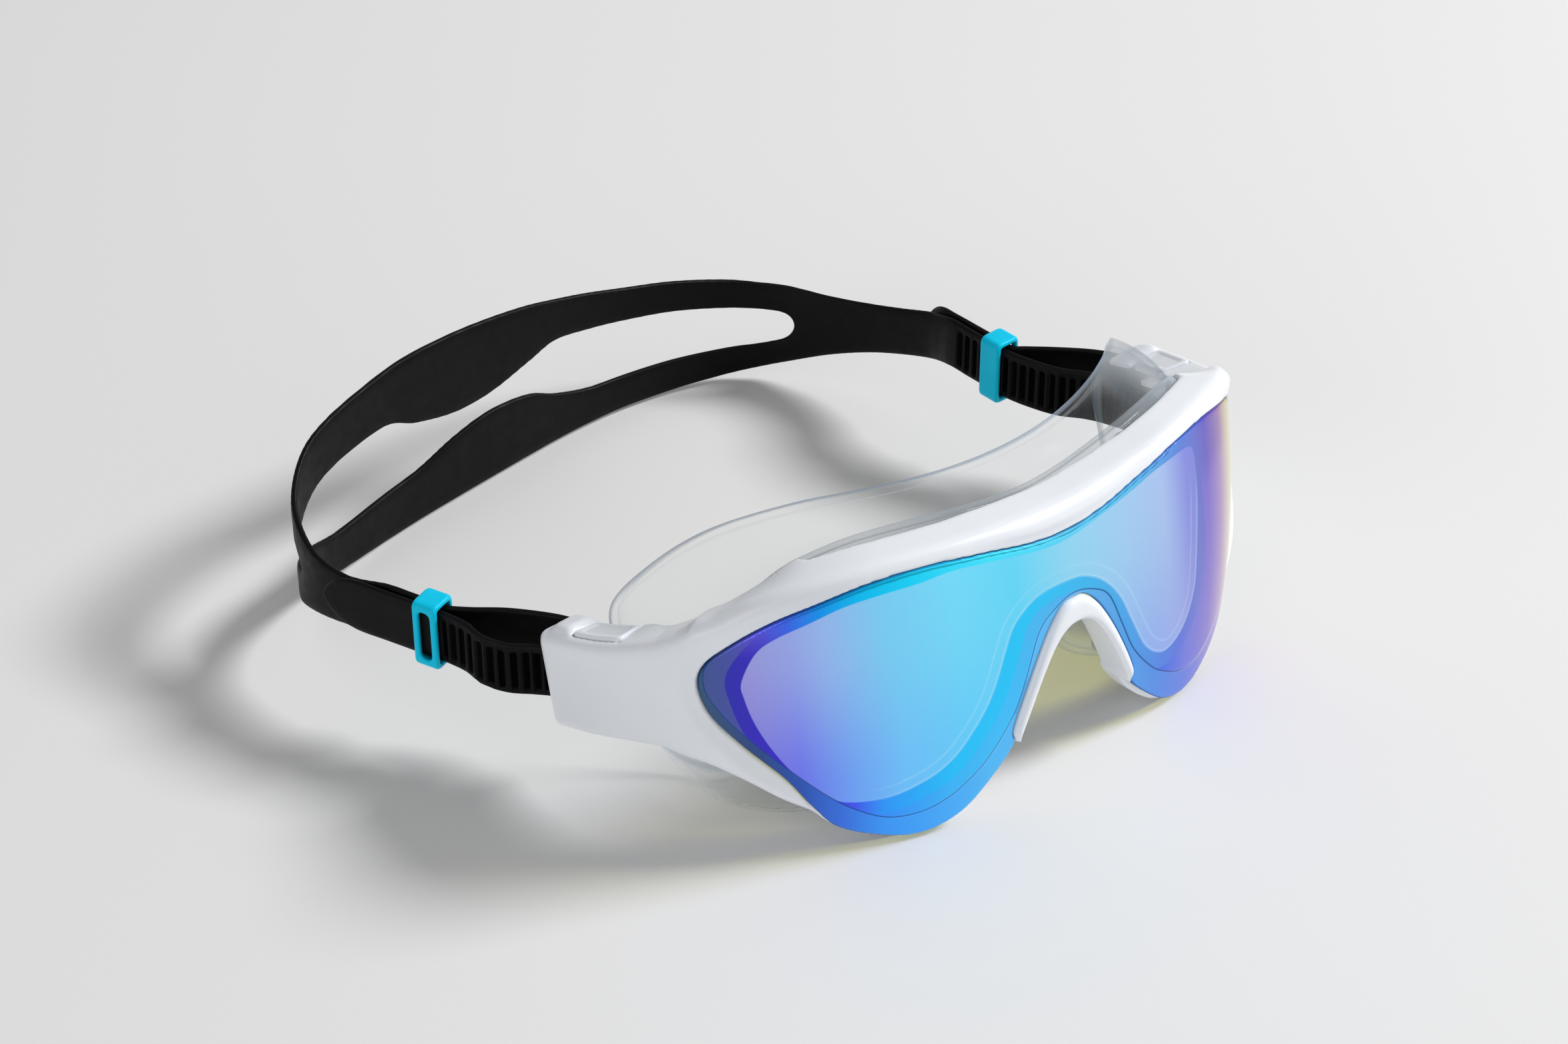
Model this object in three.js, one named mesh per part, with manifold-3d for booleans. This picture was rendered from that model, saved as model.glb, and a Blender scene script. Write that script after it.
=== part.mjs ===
// Swim-mask goggles: one curved mirrored lens in a white frame, a clear face seal behind it,
// and a split rubber head strap that loops through a clip in each hollow side arm.
//
// The frame, lens and carrier are laid out on one curved wall. at(s, z, d) places a point on it:
// s runs along the wall from the middle of the nose, z is the height and d is the distance in
// front of the wall. X is to the right of a person who faces the mask, and -Y is its front.
import * as THREE from "three";
import { mergeVertices } from "three/addons/utils/BufferGeometryUtils.js";
import Module from "manifold-3d";

const wasm = await Module();
wasm.setup();

// ---- driving dimensions, in millimetres ----
const BROW_RADIUS = 234.8; // the nearly flat middle of the wall
const BROW_LENGTH = 23.4;
const TEMPLE_RADIUS = 62.7; // the turn towards the temples
const TEMPLE_LENGTH = 83.6;
const ARM_RADIUS = 400; // the nearly straight side arms
const LEAN = 0.096; // how much the wall leans back with height
const LEAN_CURVE = 0.00256;
const EYE_LEVEL = 30;

const LENS_THICKNESS = 2;
const GAP = 0.3; // fitting gap between neighbours
const LEDGE = -(LENS_THICKNESS + GAP); // the frame's seat behind the lens
const FRAME_BACK = -8;
const CARRIER_BACK = -10.6;
const SEAL_WALL = 1.3;
const SEAL_LIP = 1.6;

const ARM_WALL = 1.7;
const ARM_FRONT = 0.9; // the arm's outer face stands a little proud of the wall
const ARM_BACK = -10;
const ARM_END = 114.6;
const ARM_ROOF = 2.2; // over the cavity, thinner towards the head
const ARM_TILT = 1.6; // how far the arm's top face falls towards the head
const ARM_SLANT = 0.12; // how much further back the arm's end reaches with height
const ARM_START = 80;
const CAVITY_START = 89;

const CLIP_S = 100; // the strap bar's place along the arm
const CLIP_FROM = 98;
const CLIP_TO = 103.4;
const CLIP_D = -7;
const BAR_RADIUS = 1.6;
const PLATE = 1;
const BUTTON_START = 95;
const BUTTON_END = 107.8;
const BUTTON_HEIGHT = 2.6;
const BUTTON_TRAVEL = 1.2;
const BUTTON_FRONT = -1.8;
const BUTTON_REAR = -8.8;

const STRAP_THICKNESS = 1.5;
const LAYER_PITCH = 2; // between the two layers inside a keeper
const STRAP_LOW = 19.7;
const STRAP_HIGH = 31.8;
const STRAP_MID = (STRAP_LOW + STRAP_HIGH) / 2;
const SLOT_START_LEFT = 125; // how far back the long slot starts on each side of the strap
const SLOT_START_RIGHT = 141;
const KEEPER_LENGTH = 5.6;
const KEEPER_WALL = 1.2;
const KEEPER_CLEARANCE = 0.35;
const KEEPER_SLOT_WIDTH = 2.6; // the window in the keeper's outer face
const KEEPER_SLOT_HEIGHT = 11.4;

// ---- the outlines, right half, as [s, z], from the top middle round to the nose ----
// Each row of the three lists is one place round the eye, so the lists go together.
const OUTER_EDGE = [
  [0, 61.5], [9.4, 61.8], [20.6, 62.4], [32.7, 62.8], [44.7, 62.2], [56.5, 60],
  [65.5, 56.9], [73.5, 52.6], [81, 48], [86, 36], [84, 24], [77, 20.3],
  [68.9, 15.8], [59.6, 9.9], [53, 5], [43.6, 0.6], [35.4, -0.8], [26.8, 2.2],
  [19.8, 7.8], [14.8, 14], [13.9, 17], [9.4, 26.8], [5.6, 33.1], [2.6, 35.7], [0, 36.3],
];
const LENS_EDGE = [
  [0, 55.5], [9.4, 56.3], [20.6, 58.4], [32.7, 59.8], [44.7, 58.7], [56.5, 55],
  [64, 51.7], [70.9, 47.3], [76.7, 42.3], [78.6, 37.4], [76.7, 31.4], [71.2, 25.6],
  [63.2, 18.3], [57.9, 11.4], [52.8, 6], [43.1, 2.3], [35.4, 1], [27.4, 3.2],
  [20.7, 8.6], [15.5, 14.5], [15.7, 18.3], [11.2, 28.8], [6.8, 36.7], [3.1, 40.6], [0, 41.3],
];
const WINDOW_EDGE = [
  [0, 53.4], [8.6, 54.2], [19, 56], [30, 57.2], [41.5, 56.6], [51, 54.2],
  [61, 50], [66.8, 45.6], [69.6, 41], [70.2, 36.5], [68.5, 31.5], [63, 23.6],
  [57, 15.9], [50.4, 10.9], [45, 8.6], [40, 8], [34.4, 9.6], [27.8, 16],
  [24, 23], [21, 29.5], [18.4, 34.6], [14, 39.8], [9, 43], [4.4, 44.4], [0, 44.8],
];
const TEMPLE_ROW = 9; // the row at the lens's temple end
// How far the frame stands in front of its ledge: 1 where white shows beside the lens,
// 0 under the lens, where the frame ends behind it.
const BAND = [
  1, 1, 1, 1, 1, 1, 1, 1, 1, 1, 1, 1, 1, 0.8, 0.15, 0, 0, 0, 0, 0.4, 1, 1, 1, 1, 1,
];
// The edge of the face seal that lies on the face, as [x, y, z], at the same places.
const FACE_EDGE = [
  [0, 23.3, 64.6], [10, 24, 64.6], [20, 26.5, 64.3], [30, 30.6, 63.8], [40, 36.6, 62.2],
  [50, 44.8, 57.6], [56, 50.6, 52.4], [61, 56, 45.5], [64, 60.5, 38.5], [65, 62, 33],
  [64.5, 61, 26], [64.2, 58, 17], [62.5, 53.5, 8.5], [59, 47.5, 3.4], [53.5, 40.5, 2.4],
  [43, 36.5, 2.4], [35.5, 32.5, 2.8], [28, 29.5, 4.6], [22, 27.5, 8.2], [17.5, 25.5, 13.5],
  [14.5, 23.5, 20], [11.5, 21, 27.5], [8, 19, 34], [4.2, 17.6, 38.4], [0, 17, 39.6],
];
// How far the seal swells out between the carrier and the face.
const SWELL = [
  2, 2, 2, 2, 2, 2.5, 3, 3, 3, 3, 5.5, 8.5, 12, 15.5, 18, 12, 6, 4, 6, 7, 5, 3, 2, 1.5, 1.5,
];

// Where the carrier and the seal start: 0 at the window's edge, 1 at the lens's, 2 at the frame's.
const SEAT = [
  1.6, 1.6, 1.6, 1.6, 1.6, 1.5, 1.25, 0.9, 0.5, 0.4, 0.4, 0.4,
  0.5, 0.6, 0.6, 0.6, 0.6, 0.6, 0.7, 0.8, 0.8, 0.8, 0.8, 0.8, 0.8,
];
const ARM_TOP = [[78, 49.5], [86.2, 45.4], [95, 41.8], [101, 39.8], [107.8, 37.8], [112, 36.4], [115, 35.4]];
const ARM_BOTTOM = [[78, 21.6], [86.2, 21.4], [94.7, 19.8], [104, 17.2], [112.6, 14.8], [115, 15.6]];

const STATIONS_PER_ROW = 2;
const ARM_STEPS = 18;
const LENS_ROWS = 5;
const STRAP_STEPS = 3;

// ---- the curved wall ----
function wallPlan(s) {
  const parts = [[BROW_RADIUS, BROW_LENGTH], [TEMPLE_RADIUS, TEMPLE_LENGTH], [ARM_RADIUS, Infinity]];
  let x = 0;
  let y = 0;
  let turn = 0;
  let left = Math.abs(s);
  for (const [radius, length] of parts) {
    const next = turn + Math.min(left, length) / radius;
    x += radius * (Math.sin(next) - Math.sin(turn));
    y += radius * (Math.cos(turn) - Math.cos(next));
    turn = next;
    left = Math.max(0, left - length);
  }
  return { x: Math.sign(s) * x, y, turn: Math.sign(s) * turn };
}

function at(s, z, d) {
  const { x, y, turn } = wallPlan(s);
  const rise = z - EYE_LEVEL;
  const lean = LEAN * rise + LEAN_CURVE * rise * rise;
  return new THREE.Vector3(x + d * Math.sin(turn), y - d * Math.cos(turn) + lean, z);
}

// ---- small tools ----
const mix = THREE.MathUtils.lerp;

function along(list, s) {
  const i = Math.max(1, list.findIndex(([key], n) => key >= s || n === list.length - 1));
  const [[s0, v0], [s1, v1]] = [list[i - 1], list[i]];
  return mix(v0, v1, (s - s0) / (s1 - s0));
}

// Catmull-Rom through rows of numbers; wrap closes the list.
function smoothRows(rows, steps, wrap) {
  const n = rows.length;
  const row = (i) => (wrap ? rows[(i + n) % n] : rows[THREE.MathUtils.clamp(i, 0, n - 1)]);
  const made = [];
  for (let i = 0; i < (wrap ? n : n - 1); i++)
    for (let k = 0; k < steps; k++) {
      const t = k / steps;
      made.push(row(i).map((v, c) => catmull(row(i - 1)[c], v, row(i + 1)[c], row(i + 2)[c], t)));
    }
  if (!wrap) made.push(rows[n - 1]);
  return made;
}

function catmull(a, b, c, d, t) {
  return b + 0.5 * t * (c - a + t * (2 * a - 5 * b + 4 * c - d + t * (3 * (b - c) + d - a)));
}

// A list for the right half, carried round the left half as well and made smooth.
function aroundFace(rows) {
  const right = rows.map((row) => (Array.isArray(row) ? row : [row]));
  const flip = ([first, ...rest]) => (rest.length ? [-first, ...rest] : [first]);
  const left = right.slice(1, -1).reverse().map(flip);
  return smoothRows([...right, ...left], STATIONS_PER_ROW, true);
}

function meshOf(points, triangles) {
  const geometry = new THREE.BufferGeometry();
  geometry.setAttribute(
    "position",
    new THREE.Float32BufferAttribute(points.flatMap((p) => [p.x, p.y, p.z]), 3),
  );
  geometry.setIndex(triangles.flat());
  return geometry;
}

// Skins a row of matching cross-sections; wrap joins the last to the first, and otherwise
// the two ends are capped. Sections run anticlockwise seen from the last one.
function loft(sections, wrap = false) {
  const n = sections[0].length;
  const rows = wrap ? sections.length : sections.length - 1;
  const triangles = [];
  const point = (i, k) => (i % sections.length) * n + (k % n);
  for (let i = 0; i < rows; i++)
    for (let k = 0; k < n; k++) {
      const [a, b, c, d] = [point(i, k), point(i, k + 1), point(i + 1, k + 1), point(i + 1, k)];
      triangles.push([a, b, c], [a, c, d]);
    }
  if (!wrap)
    for (let k = 1; k < n - 1; k++) {
      triangles.push([0, k + 1, k]);
      triangles.push([point(rows, 0), point(rows, k), point(rows, k + 1)]);
    }
  return facingOut(meshOf(sections.flat(), triangles));
}

// A sheet between two matching grids of points. Cells where skip(i, j) is true are left open.
function sheet(front, back, skip = () => false) {
  const rows = front.length;
  const columns = front[0].length;
  const flat = [...front.flat(), ...back.flat()];
  const id = (side, i, j) => side * rows * columns + i * columns + j;
  const filled = (i, j) => i >= 0 && j >= 0 && i < rows - 1 && j < columns - 1 && !skip(i, j);
  const triangles = [];
  const quad = (a, b, c, d) => triangles.push([a, b, c], [a, c, d]);
  for (let i = 0; i < rows - 1; i++)
    for (let j = 0; j < columns - 1; j++) {
      if (!filled(i, j)) continue;
      quad(id(0, i, j), id(0, i + 1, j), id(0, i + 1, j + 1), id(0, i, j + 1));
      quad(id(1, i, j), id(1, i, j + 1), id(1, i + 1, j + 1), id(1, i + 1, j));
      if (!filled(i - 1, j)) quad(id(0, i, j), id(0, i, j + 1), id(1, i, j + 1), id(1, i, j));
      if (!filled(i + 1, j))
        quad(id(0, i + 1, j + 1), id(0, i + 1, j), id(1, i + 1, j), id(1, i + 1, j + 1));
      if (!filled(i, j - 1)) quad(id(0, i + 1, j), id(0, i, j), id(1, i, j), id(1, i + 1, j));
      if (!filled(i, j + 1))
        quad(id(0, i, j + 1), id(0, i + 1, j + 1), id(1, i + 1, j + 1), id(1, i, j + 1));
    }
  return facingOut(meshOf(flat, triangles));
}

// Turns the faces round if they point inwards.
function facingOut(geometry) {
  const p = geometry.getAttribute("position");
  const index = geometry.index.array;
  const corner = (i) => new THREE.Vector3().fromBufferAttribute(p, index[i]);
  let volume = 0;
  for (let i = 0; i < index.length; i += 3)
    volume += corner(i).dot(corner(i + 1).cross(corner(i + 2)));
  if (volume < 0)
    for (let i = 0; i < index.length; i += 3) [index[i], index[i + 1]] = [index[i + 1], index[i]];
  return geometry;
}

function solid(geometry) {
  const bare = geometry.clone();
  bare.deleteAttribute("normal");
  bare.deleteAttribute("uv");
  const merged = mergeVertices(bare, 1e-4);
  const mesh = new wasm.Mesh({
    numProp: 3,
    vertProperties: new Float32Array(merged.attributes.position.array),
    triVerts: new Uint32Array(merged.index.array),
  });
  return new wasm.Manifold(mesh);
}

function geometryOf(manifold) {
  const mesh = manifold.getMesh();
  const geometry = new THREE.BufferGeometry();
  geometry.setAttribute("position", new THREE.BufferAttribute(mesh.vertProperties, 3));
  geometry.setIndex(new THREE.BufferAttribute(mesh.triVerts, 1));
  return geometry;
}

// ---- the outlines as stations round the face ----
const outer = aroundFace(OUTER_EDGE);
const lensEdge = aroundFace(LENS_EDGE);
const windowEdge = aroundFace(WINDOW_EDGE);
const faceEdge = aroundFace(FACE_EDGE);
const band = aroundFace(BAND);
const swell = aroundFace(SWELL);
const seat = aroundFace(SEAT);

// A point of the wall at one station: 0 at the window's edge, 1 at the lens's, 2 at the frame's.
function across(i, place, d, extra = 0) {
  const [from, to] = place < 1 ? [windowEdge[i], lensEdge[i]] : [lensEdge[i], outer[i]];
  const t = place < 1 ? place : place - 1;
  const [ds, dz] = outward(i);
  return at(mix(from[0], to[0], t) + extra * ds, mix(from[1], to[1], t) + extra * dz, d);
}

// The unit direction away from the eye, square to the lens's edge, in the wall.
function outward(i) {
  const n = lensEdge.length;
  const [a, b] = [lensEdge[(i + n - 1) % n], lensEdge[(i + 1) % n]];
  const length = Math.hypot(b[0] - a[0], b[1] - a[1]);
  return [(a[1] - b[1]) / length, (b[0] - a[0]) / length];
}

// ---- lens ----
// Columns run from the lower edge, one at each of its stations, up to the brow edge.
function makeLens() {
  const tip = STATIONS_PER_ROW * TEMPLE_ROW;
  const brow = lensEdge.slice(0, tip + 1);
  const below = lensEdge.slice(tip + 1, lensEdge.length / 2 + 1).reverse();
  let reach = 0;
  const right = below.map(([s, z]) => {
    reach = Math.max(reach, s);
    return { low: [s, z], high: [reach, along(brow, reach)] };
  });
  const flip = ({ low, high }) => ({ low: [-low[0], low[1]], high: [-high[0], high[1]] });
  const columns = [...right.slice(1).reverse().map(flip), ...right];
  const face = (d) =>
    columns.map(({ low, high }) =>
      Array.from({ length: LENS_ROWS + 1 }, (_, j) => {
        const t = j / LENS_ROWS;
        return at(mix(low[0], high[0], t), mix(low[1], high[1], t), d);
      }),
    );
  return sheet(face(0), face(-LENS_THICKNESS));
}

// ---- frame ----
function makeRim() {
  const sections = outer.map((_, i) => {
    const stand = (d) => mix(LEDGE, d, band[i][0]);
    return [
      across(i, 0, LEDGE),
      across(i, 1, LEDGE, GAP),
      across(i, 1, stand(0), GAP),
      across(i, 1.5, stand(0.9)),
      across(i, 1.85, stand(0.1)),
      across(i, 2, stand(-1.6)),
      across(i, 2, FRAME_BACK),
      across(i, 0.35, FRAME_BACK),
      across(i, 0, LEDGE - 2),
    ];
  });
  return solid(loft(sections, true));
}

// A stretch of the arm between two heights, each a function of s, and two depths. Its top
// falls by drop from the front to the back.
function armBlock(side, from, to, low, high, front, back, drop = 0) {
  const sections = [];
  for (let i = 0; i <= ARM_STEPS; i++) {
    const s = mix(from, to, i / ARM_STEPS);
    const corners = [[low(s), back], [low(s), front], [high(s), front], [high(s) - drop, back]];
    sections.push(corners.map(([z, d]) => at(side * s, z, d)));
  }
  return solid(loft(sections));
}

function makeArm(side) {
  const sections = [];
  for (let i = 0; i <= ARM_STEPS; i++) {
    const share = i / ARM_STEPS;
    const s = mix(ARM_START, ARM_END, share);
    const [low, high] = [along(ARM_BOTTOM, s), along(ARM_TOP, s)];
    const middle = (low + high) / 2;
    const slanted = (z) => s + share * ARM_SLANT * (z - middle);
    const profile = [
      [low, ARM_BACK], [low, -2.4], [low + 1, -0.6], [low + 4, 0.6], [middle, ARM_FRONT],
      [high - 4, 0.6], [high - 1, -0.6], [high, -2.4], [high - share * ARM_TILT, ARM_BACK],
    ];
    sections.push(profile.map(([z, d]) => at(side * slanted(z), z, d)));
  }
  const low = (s) => along(ARM_BOTTOM, s) + ARM_WALL;
  const high = (s) => along(ARM_TOP, s) - ARM_ROOF;
  const cavity = armBlock(side, CAVITY_START, ARM_END + 4, low, high, ARM_FRONT - 2.2, ARM_BACK - 3);
  const notch = armBlock(
    side,
    BUTTON_START - GAP,
    BUTTON_END + GAP,
    (s) => along(ARM_TOP, s) - ARM_ROOF - 1,
    (s) => along(ARM_TOP, s) + 5,
    BUTTON_FRONT + GAP,
    ARM_BACK - 3,
  );
  return solid(loft(sections)).subtract(cavity).subtract(notch);
}

function makeFrame() {
  const whole = makeRim().add(makeArm(-1)).add(makeArm(1));
  const floor = new THREE.BoxGeometry(200, 120, 20).translate(0, 30, -10);
  return geometryOf(whole.subtract(solid(floor)));
}

// ---- the hard carrier of the face seal ----
function makeCarrier() {
  const sections = seat.map(([place], i) => [
    across(i, place, FRAME_BACK - GAP, -1.4),
    across(i, place, FRAME_BACK - GAP, 1.4),
    across(i, place, CARRIER_BACK, 1.4),
    across(i, place, CARRIER_BACK, -1.4),
  ]);
  return loft(sections, true);
}

// ---- face seal ----
function makeSeal() {
  const clear = (p) => new THREE.Vector3(p.x, p.y, Math.max(p.z, 0.8));
  const sections = seat.map(([place], i) => {
    const start = across(i, place, CARRIER_BACK - GAP, 0.6);
    const end = new THREE.Vector3(...faceEdge[i]);
    const out = across(i, place, 0, 1).sub(across(i, place, 0, 0)).setY(0).normalize();
    const bend = start.clone().lerp(end, 0.5).addScaledVector(out, swell[i][0]);
    const curve = new THREE.QuadraticBezierCurve3(start, bend, end);
    const wall = [0, 0.3, 0.55, 0.8, 1].map((t) => curve.getPoint(t));
    const lip = end.clone().addScaledVector(out, -SEAL_LIP).add(new THREE.Vector3(0, 0.6, 0));
    const inner = wall.map((p) => p.clone().addScaledVector(out, -SEAL_WALL));
    inner[inner.length - 1].y -= SEAL_WALL;
    const underLip = lip.clone().add(new THREE.Vector3(0, -SEAL_WALL, 0));
    return [...wall, lip, underLip, ...inner.reverse()].map(clear);
  });
  return loft(sections, true);
}

// ---- strap bar and its insert, and the button above it ----
function makeClip(side) {
  const floorOf = (s) => along(ARM_BOTTOM, s) + ARM_WALL + GAP;
  const roofOf = (s) => along(ARM_TOP, s) - BUTTON_HEIGHT - BUTTON_TRAVEL - GAP;
  const base = armBlock(side, CLIP_FROM, CLIP_TO, floorOf, (s) => floorOf(s) + PLATE, -3, -9.6);
  const roof = armBlock(side, CLIP_FROM, CLIP_TO, (s) => roofOf(s) - PLATE, roofOf, -3, -9.6);
  const low = floorOf(CLIP_S) + PLATE / 2;
  const high = roofOf(CLIP_S) - PLATE / 2;
  const centre = at(side * CLIP_S, EYE_LEVEL, CLIP_D);
  const bar = new THREE.CylinderGeometry(BAR_RADIUS, BAR_RADIUS, high - low, 24)
    .rotateX(Math.PI / 2)
    .translate(centre.x, centre.y, (low + high) / 2);
  return geometryOf(base.add(roof).add(solid(bar)));
}

function makeButton(side) {
  const top = (s) => along(ARM_TOP, s) + 0.5;
  const bottom = (s) => along(ARM_TOP, s) - BUTTON_HEIGHT;
  const [front, back, drop] = [BUTTON_FRONT, BUTTON_REAR, ARM_TILT];
  return geometryOf(armBlock(side, BUTTON_START, BUTTON_END, bottom, top, front, back, drop));
}

// ---- strap, from the tip of one tail to the tip of the other ----
// Each row is [x, y, low, slot low, slot high, high]: its plan, its edges and its long slot.
function single(x, y, low = STRAP_LOW, high = STRAP_HIGH) {
  const middle = (low + high) / 2;
  return [x, y, low, middle - 1.5, middle + 1.5, high];
}

// Each keeper: its centre, the heading of the strap towards the arm, and its side.
const KEEPERS = [
  { name: "left", side: -1, centre: [-88.2, 88.2], heading: [0.358, -0.934] },
  { name: "right", side: 1, centre: [60, 87.5], heading: [0.04, -0.999] },
];

// A straight stretch of one layer through a keeper: layer is -1 next to the head, 1 outside.
function straight(keeper, layer, steps) {
  const [hx, hy] = keeper.heading;
  const shift = (layer * LAYER_PITCH) / 2;
  const [ox, oy] = [-keeper.side * hy, keeper.side * hx];
  return steps.map((t) =>
    single(keeper.centre[0] + shift * ox + t * hx, keeper.centre[1] + shift * oy + t * hy),
  );
}

// The turn round the bar, from the outer layer to the inner one.
function barTurn(side) {
  const centre = at(side * CLIP_S, EYE_LEVEL, CLIP_D);
  const turn = [[3, 3], [3, 0.5], [2.1, -2.1], [0, -3], [-2.1, -2.1], [-3, 0.5], [-3, 3]];
  return turn.map(([out, back]) => single(centre.x + side * out, centre.y + back, 22.2, 33.5));
}

function strapRows() {
  const [left, right] = KEEPERS;
  return [
    single(-98, 112.6, 22.6, 27.4),
    single(-97.1, 109.8, 20, 30.4),
    ...straight(left, 1, [-17, -11, -5, 0, 3]),
    single(-86.6, 79.4),
    single(-86, 75.2, 19, 31),
    single(-83.4, 71, 18.2, 30.2),
    single(-79.6, 67.4, 18, 30),
    single(-77, 63.6, 18.4, 30.4),
    single(-75.6, 58.2, 20, 32),
    ...barTurn(-1),
    single(-68.4, 57.5, 21, 33),
    single(-68.9, 63, 20.2, 32.2),
    single(-71.2, 69.5),
    single(-77.2, 77.2),
    single(-83, 82.4),
    ...straight(left, -1, [3, 0, -5, -11]),
    single(-94.3, 109.5, 17.4, 29.6),
    [-95.2, 120, 15, 21, 24, 30.6],
    [-92, 130.5, 10.5, 19.3, 24.7, 34.5],
    [-84.5, 138.5, 5.5, 15.5, 27, 38.5],
    [-75, 143.3, 2.6, 12.5, 29, 40.8],
    [-59, 148.3, 1, 12.6, 29.3, 42.2],
    [-49.5, 150.3, 0.8, 13.4, 25.3, 42.6],
    [-38.5, 152, 0.8, 16.4, 22.5, 42.1],
    [-28, 153.5, 0.8, 17.8, 22.5, 40.9],
    [-17, 155, 0.8, 16.4, 24.8, 39],
    [-9, 156, 0.8, 12.8, 26.6, 37],
    [0.5, 156.7, 0.8, 10, 25.3, 34.6],
    [10.5, 156.7, 0.8, 9.2, 23.6, 32],
    [23.3, 155, 1, 8.9, 21.7, 29.5],
    [35.2, 151.4, 1.8, 8.8, 19.6, 27],
    [42, 146.9, 3.4, 10.6, 18.2, 25.7],
    [46.6, 142.6, 5, 13, 16.4, 25],
    single(52, 134.6, 8.5, 24),
    single(56.2, 126.3, 11.5, 24.4),
    single(58.6, 118, 14.2, 26.2),
    single(59.8, 109.2, 17, 29),
    ...straight(right, -1, [-14, -8, 0, 3]),
    single(60.4, 78.6),
    single(63, 71.8),
    single(66.6, 65.6, 20.2, 32.2),
    single(68.4, 58.5, 21, 33),
    ...barTurn(1).reverse(),
    single(75.8, 58, 21, 33),
    single(77, 62.8, 20, 32),
    single(76.6, 67.4),
    single(73.4, 72.6),
    single(67.8, 78.4),
    single(63.4, 82.4),
    ...straight(right, 1, [3, 0, -5, -11, -17]),
    single(61.6, 110, 20, 30.4),
    single(61.5, 112.6, 22.6, 27.4),
  ];
}

function makeStrap() {
  const rows = smoothRows(strapRows(), STRAP_STEPS, false);
  const faces = [1, -1].map((face) =>
    rows.map(([x, y, ...heights], i) => {
      const [a, b] = [rows[Math.max(0, i - 1)], rows[Math.min(rows.length - 1, i + 1)]];
      const length = Math.hypot(b[0] - a[0], b[1] - a[1]);
      const shift = (face * STRAP_THICKNESS) / 2 / length;
      return heights.map((z) => new THREE.Vector3(x - shift * (b[1] - a[1]), y + shift * (b[0] - a[0]), z));
    }),
  );
  const slotted = rows.map(([x, y]) => y > (x < 0 ? SLOT_START_LEFT : SLOT_START_RIGHT));
  return sheet(faces[0], faces[1], (i, j) => j === 1 && slotted[i] && slotted[i + 1]);
}

// ---- keepers ----
function rectangle(width, height, radius, path = new THREE.Shape()) {
  const [w, h] = [width / 2, height / 2];
  path.moveTo(-w + radius, -h);
  path.absarc(w - radius, -h + radius, radius, -Math.PI / 2, 0);
  path.absarc(w - radius, h - radius, radius, 0, Math.PI / 2);
  path.absarc(-w + radius, h - radius, radius, Math.PI / 2, Math.PI);
  path.absarc(-w + radius, -h + radius, radius, Math.PI, 1.5 * Math.PI);
  return path;
}

function makeKeeper() {
  const inside = LAYER_PITCH + STRAP_THICKNESS + 2 * KEEPER_CLEARANCE;
  const tall = STRAP_HIGH - STRAP_LOW + 2 * KEEPER_CLEARANCE;
  const shape = rectangle(inside + 2 * KEEPER_WALL, tall + 2 * KEEPER_WALL, 1);
  shape.holes.push(rectangle(inside, tall, 0.4, new THREE.Path()));
  const ring = new THREE.ExtrudeGeometry(shape, {
    depth: KEEPER_LENGTH,
    bevelEnabled: false,
    curveSegments: 5,
  });
  ring.translate(0, 0, -KEEPER_LENGTH / 2).rotateX(Math.PI / 2);
  const slot = new THREE.BoxGeometry(KEEPER_WALL * 2, KEEPER_SLOT_WIDTH, KEEPER_SLOT_HEIGHT);
  slot.translate(inside / 2 + KEEPER_WALL / 2, 0, 0);
  return geometryOf(solid(ring).subtract(solid(slot)));
}

// ---- the assembly ----
const MATERIALS = {
  white: { color: 0xe9edf3, roughness: 0.35, metalness: 0 },
  mirror: { color: 0x3fa4f2, roughness: 0.08, metalness: 0.6 },
  clear: { color: 0xdfe8ee, roughness: 0.15, metalness: 0 },
  carrier: { color: 0xb9c4cc, roughness: 0.3, metalness: 0 },
  rubber: { color: 0x17181a, roughness: 0.6, metalness: 0 },
  turquoise: { color: 0x14b4cc, roughness: 0.35, metalness: 0 },
};

const goggles = new THREE.Group();

function part(name, geometry, material, parent = goggles) {
  const mesh = new THREE.Mesh(geometry, new THREE.MeshStandardMaterial(MATERIALS[material]));
  mesh.name = name;
  mesh.geometry.computeVertexNormals();
  parent.add(mesh);
  return mesh;
}

part("lens", makeLens(), "mirror");
part("frame", makeFrame(), "white");
part("seal_carrier", makeCarrier(), "carrier");
part("face_seal", makeSeal(), "clear");
part("head_strap", makeStrap(), "rubber");
for (const keeper of KEEPERS) {
  part("strap_clip_" + keeper.name, makeClip(keeper.side), "white");
  part("release_button_" + keeper.name, makeButton(keeper.side), "white");
  const mount = new THREE.Group();
  mount.position.set(keeper.centre[0], keeper.centre[1], STRAP_MID);
  // The keeper's own X points away from the head.
  mount.rotation.z = Math.atan2(keeper.side * keeper.heading[0], -keeper.side * keeper.heading[1]);
  goggles.add(mount);
  part("strap_keeper_" + keeper.name, makeKeeper(), "turquoise", mount);
}

// The origin is on the floor under the middle of the object.
const box = new THREE.Box3().setFromObject(goggles);
const centre = box.getCenter(new THREE.Vector3());
goggles.position.set(-centre.x, -centre.y, -box.min.z);

const group = new THREE.Group();
group.add(goggles);
export default group;
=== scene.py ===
"""Swim-mask goggles: the fine surfaces, materials, floor, light and camera.

Every shape is worked out in millimetres in the mask's own frame, where X is 0 at the middle of the
nose, and is then moved into the row's frame by MASK_SHIFT and scaled to metres.
"""

import math

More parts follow.
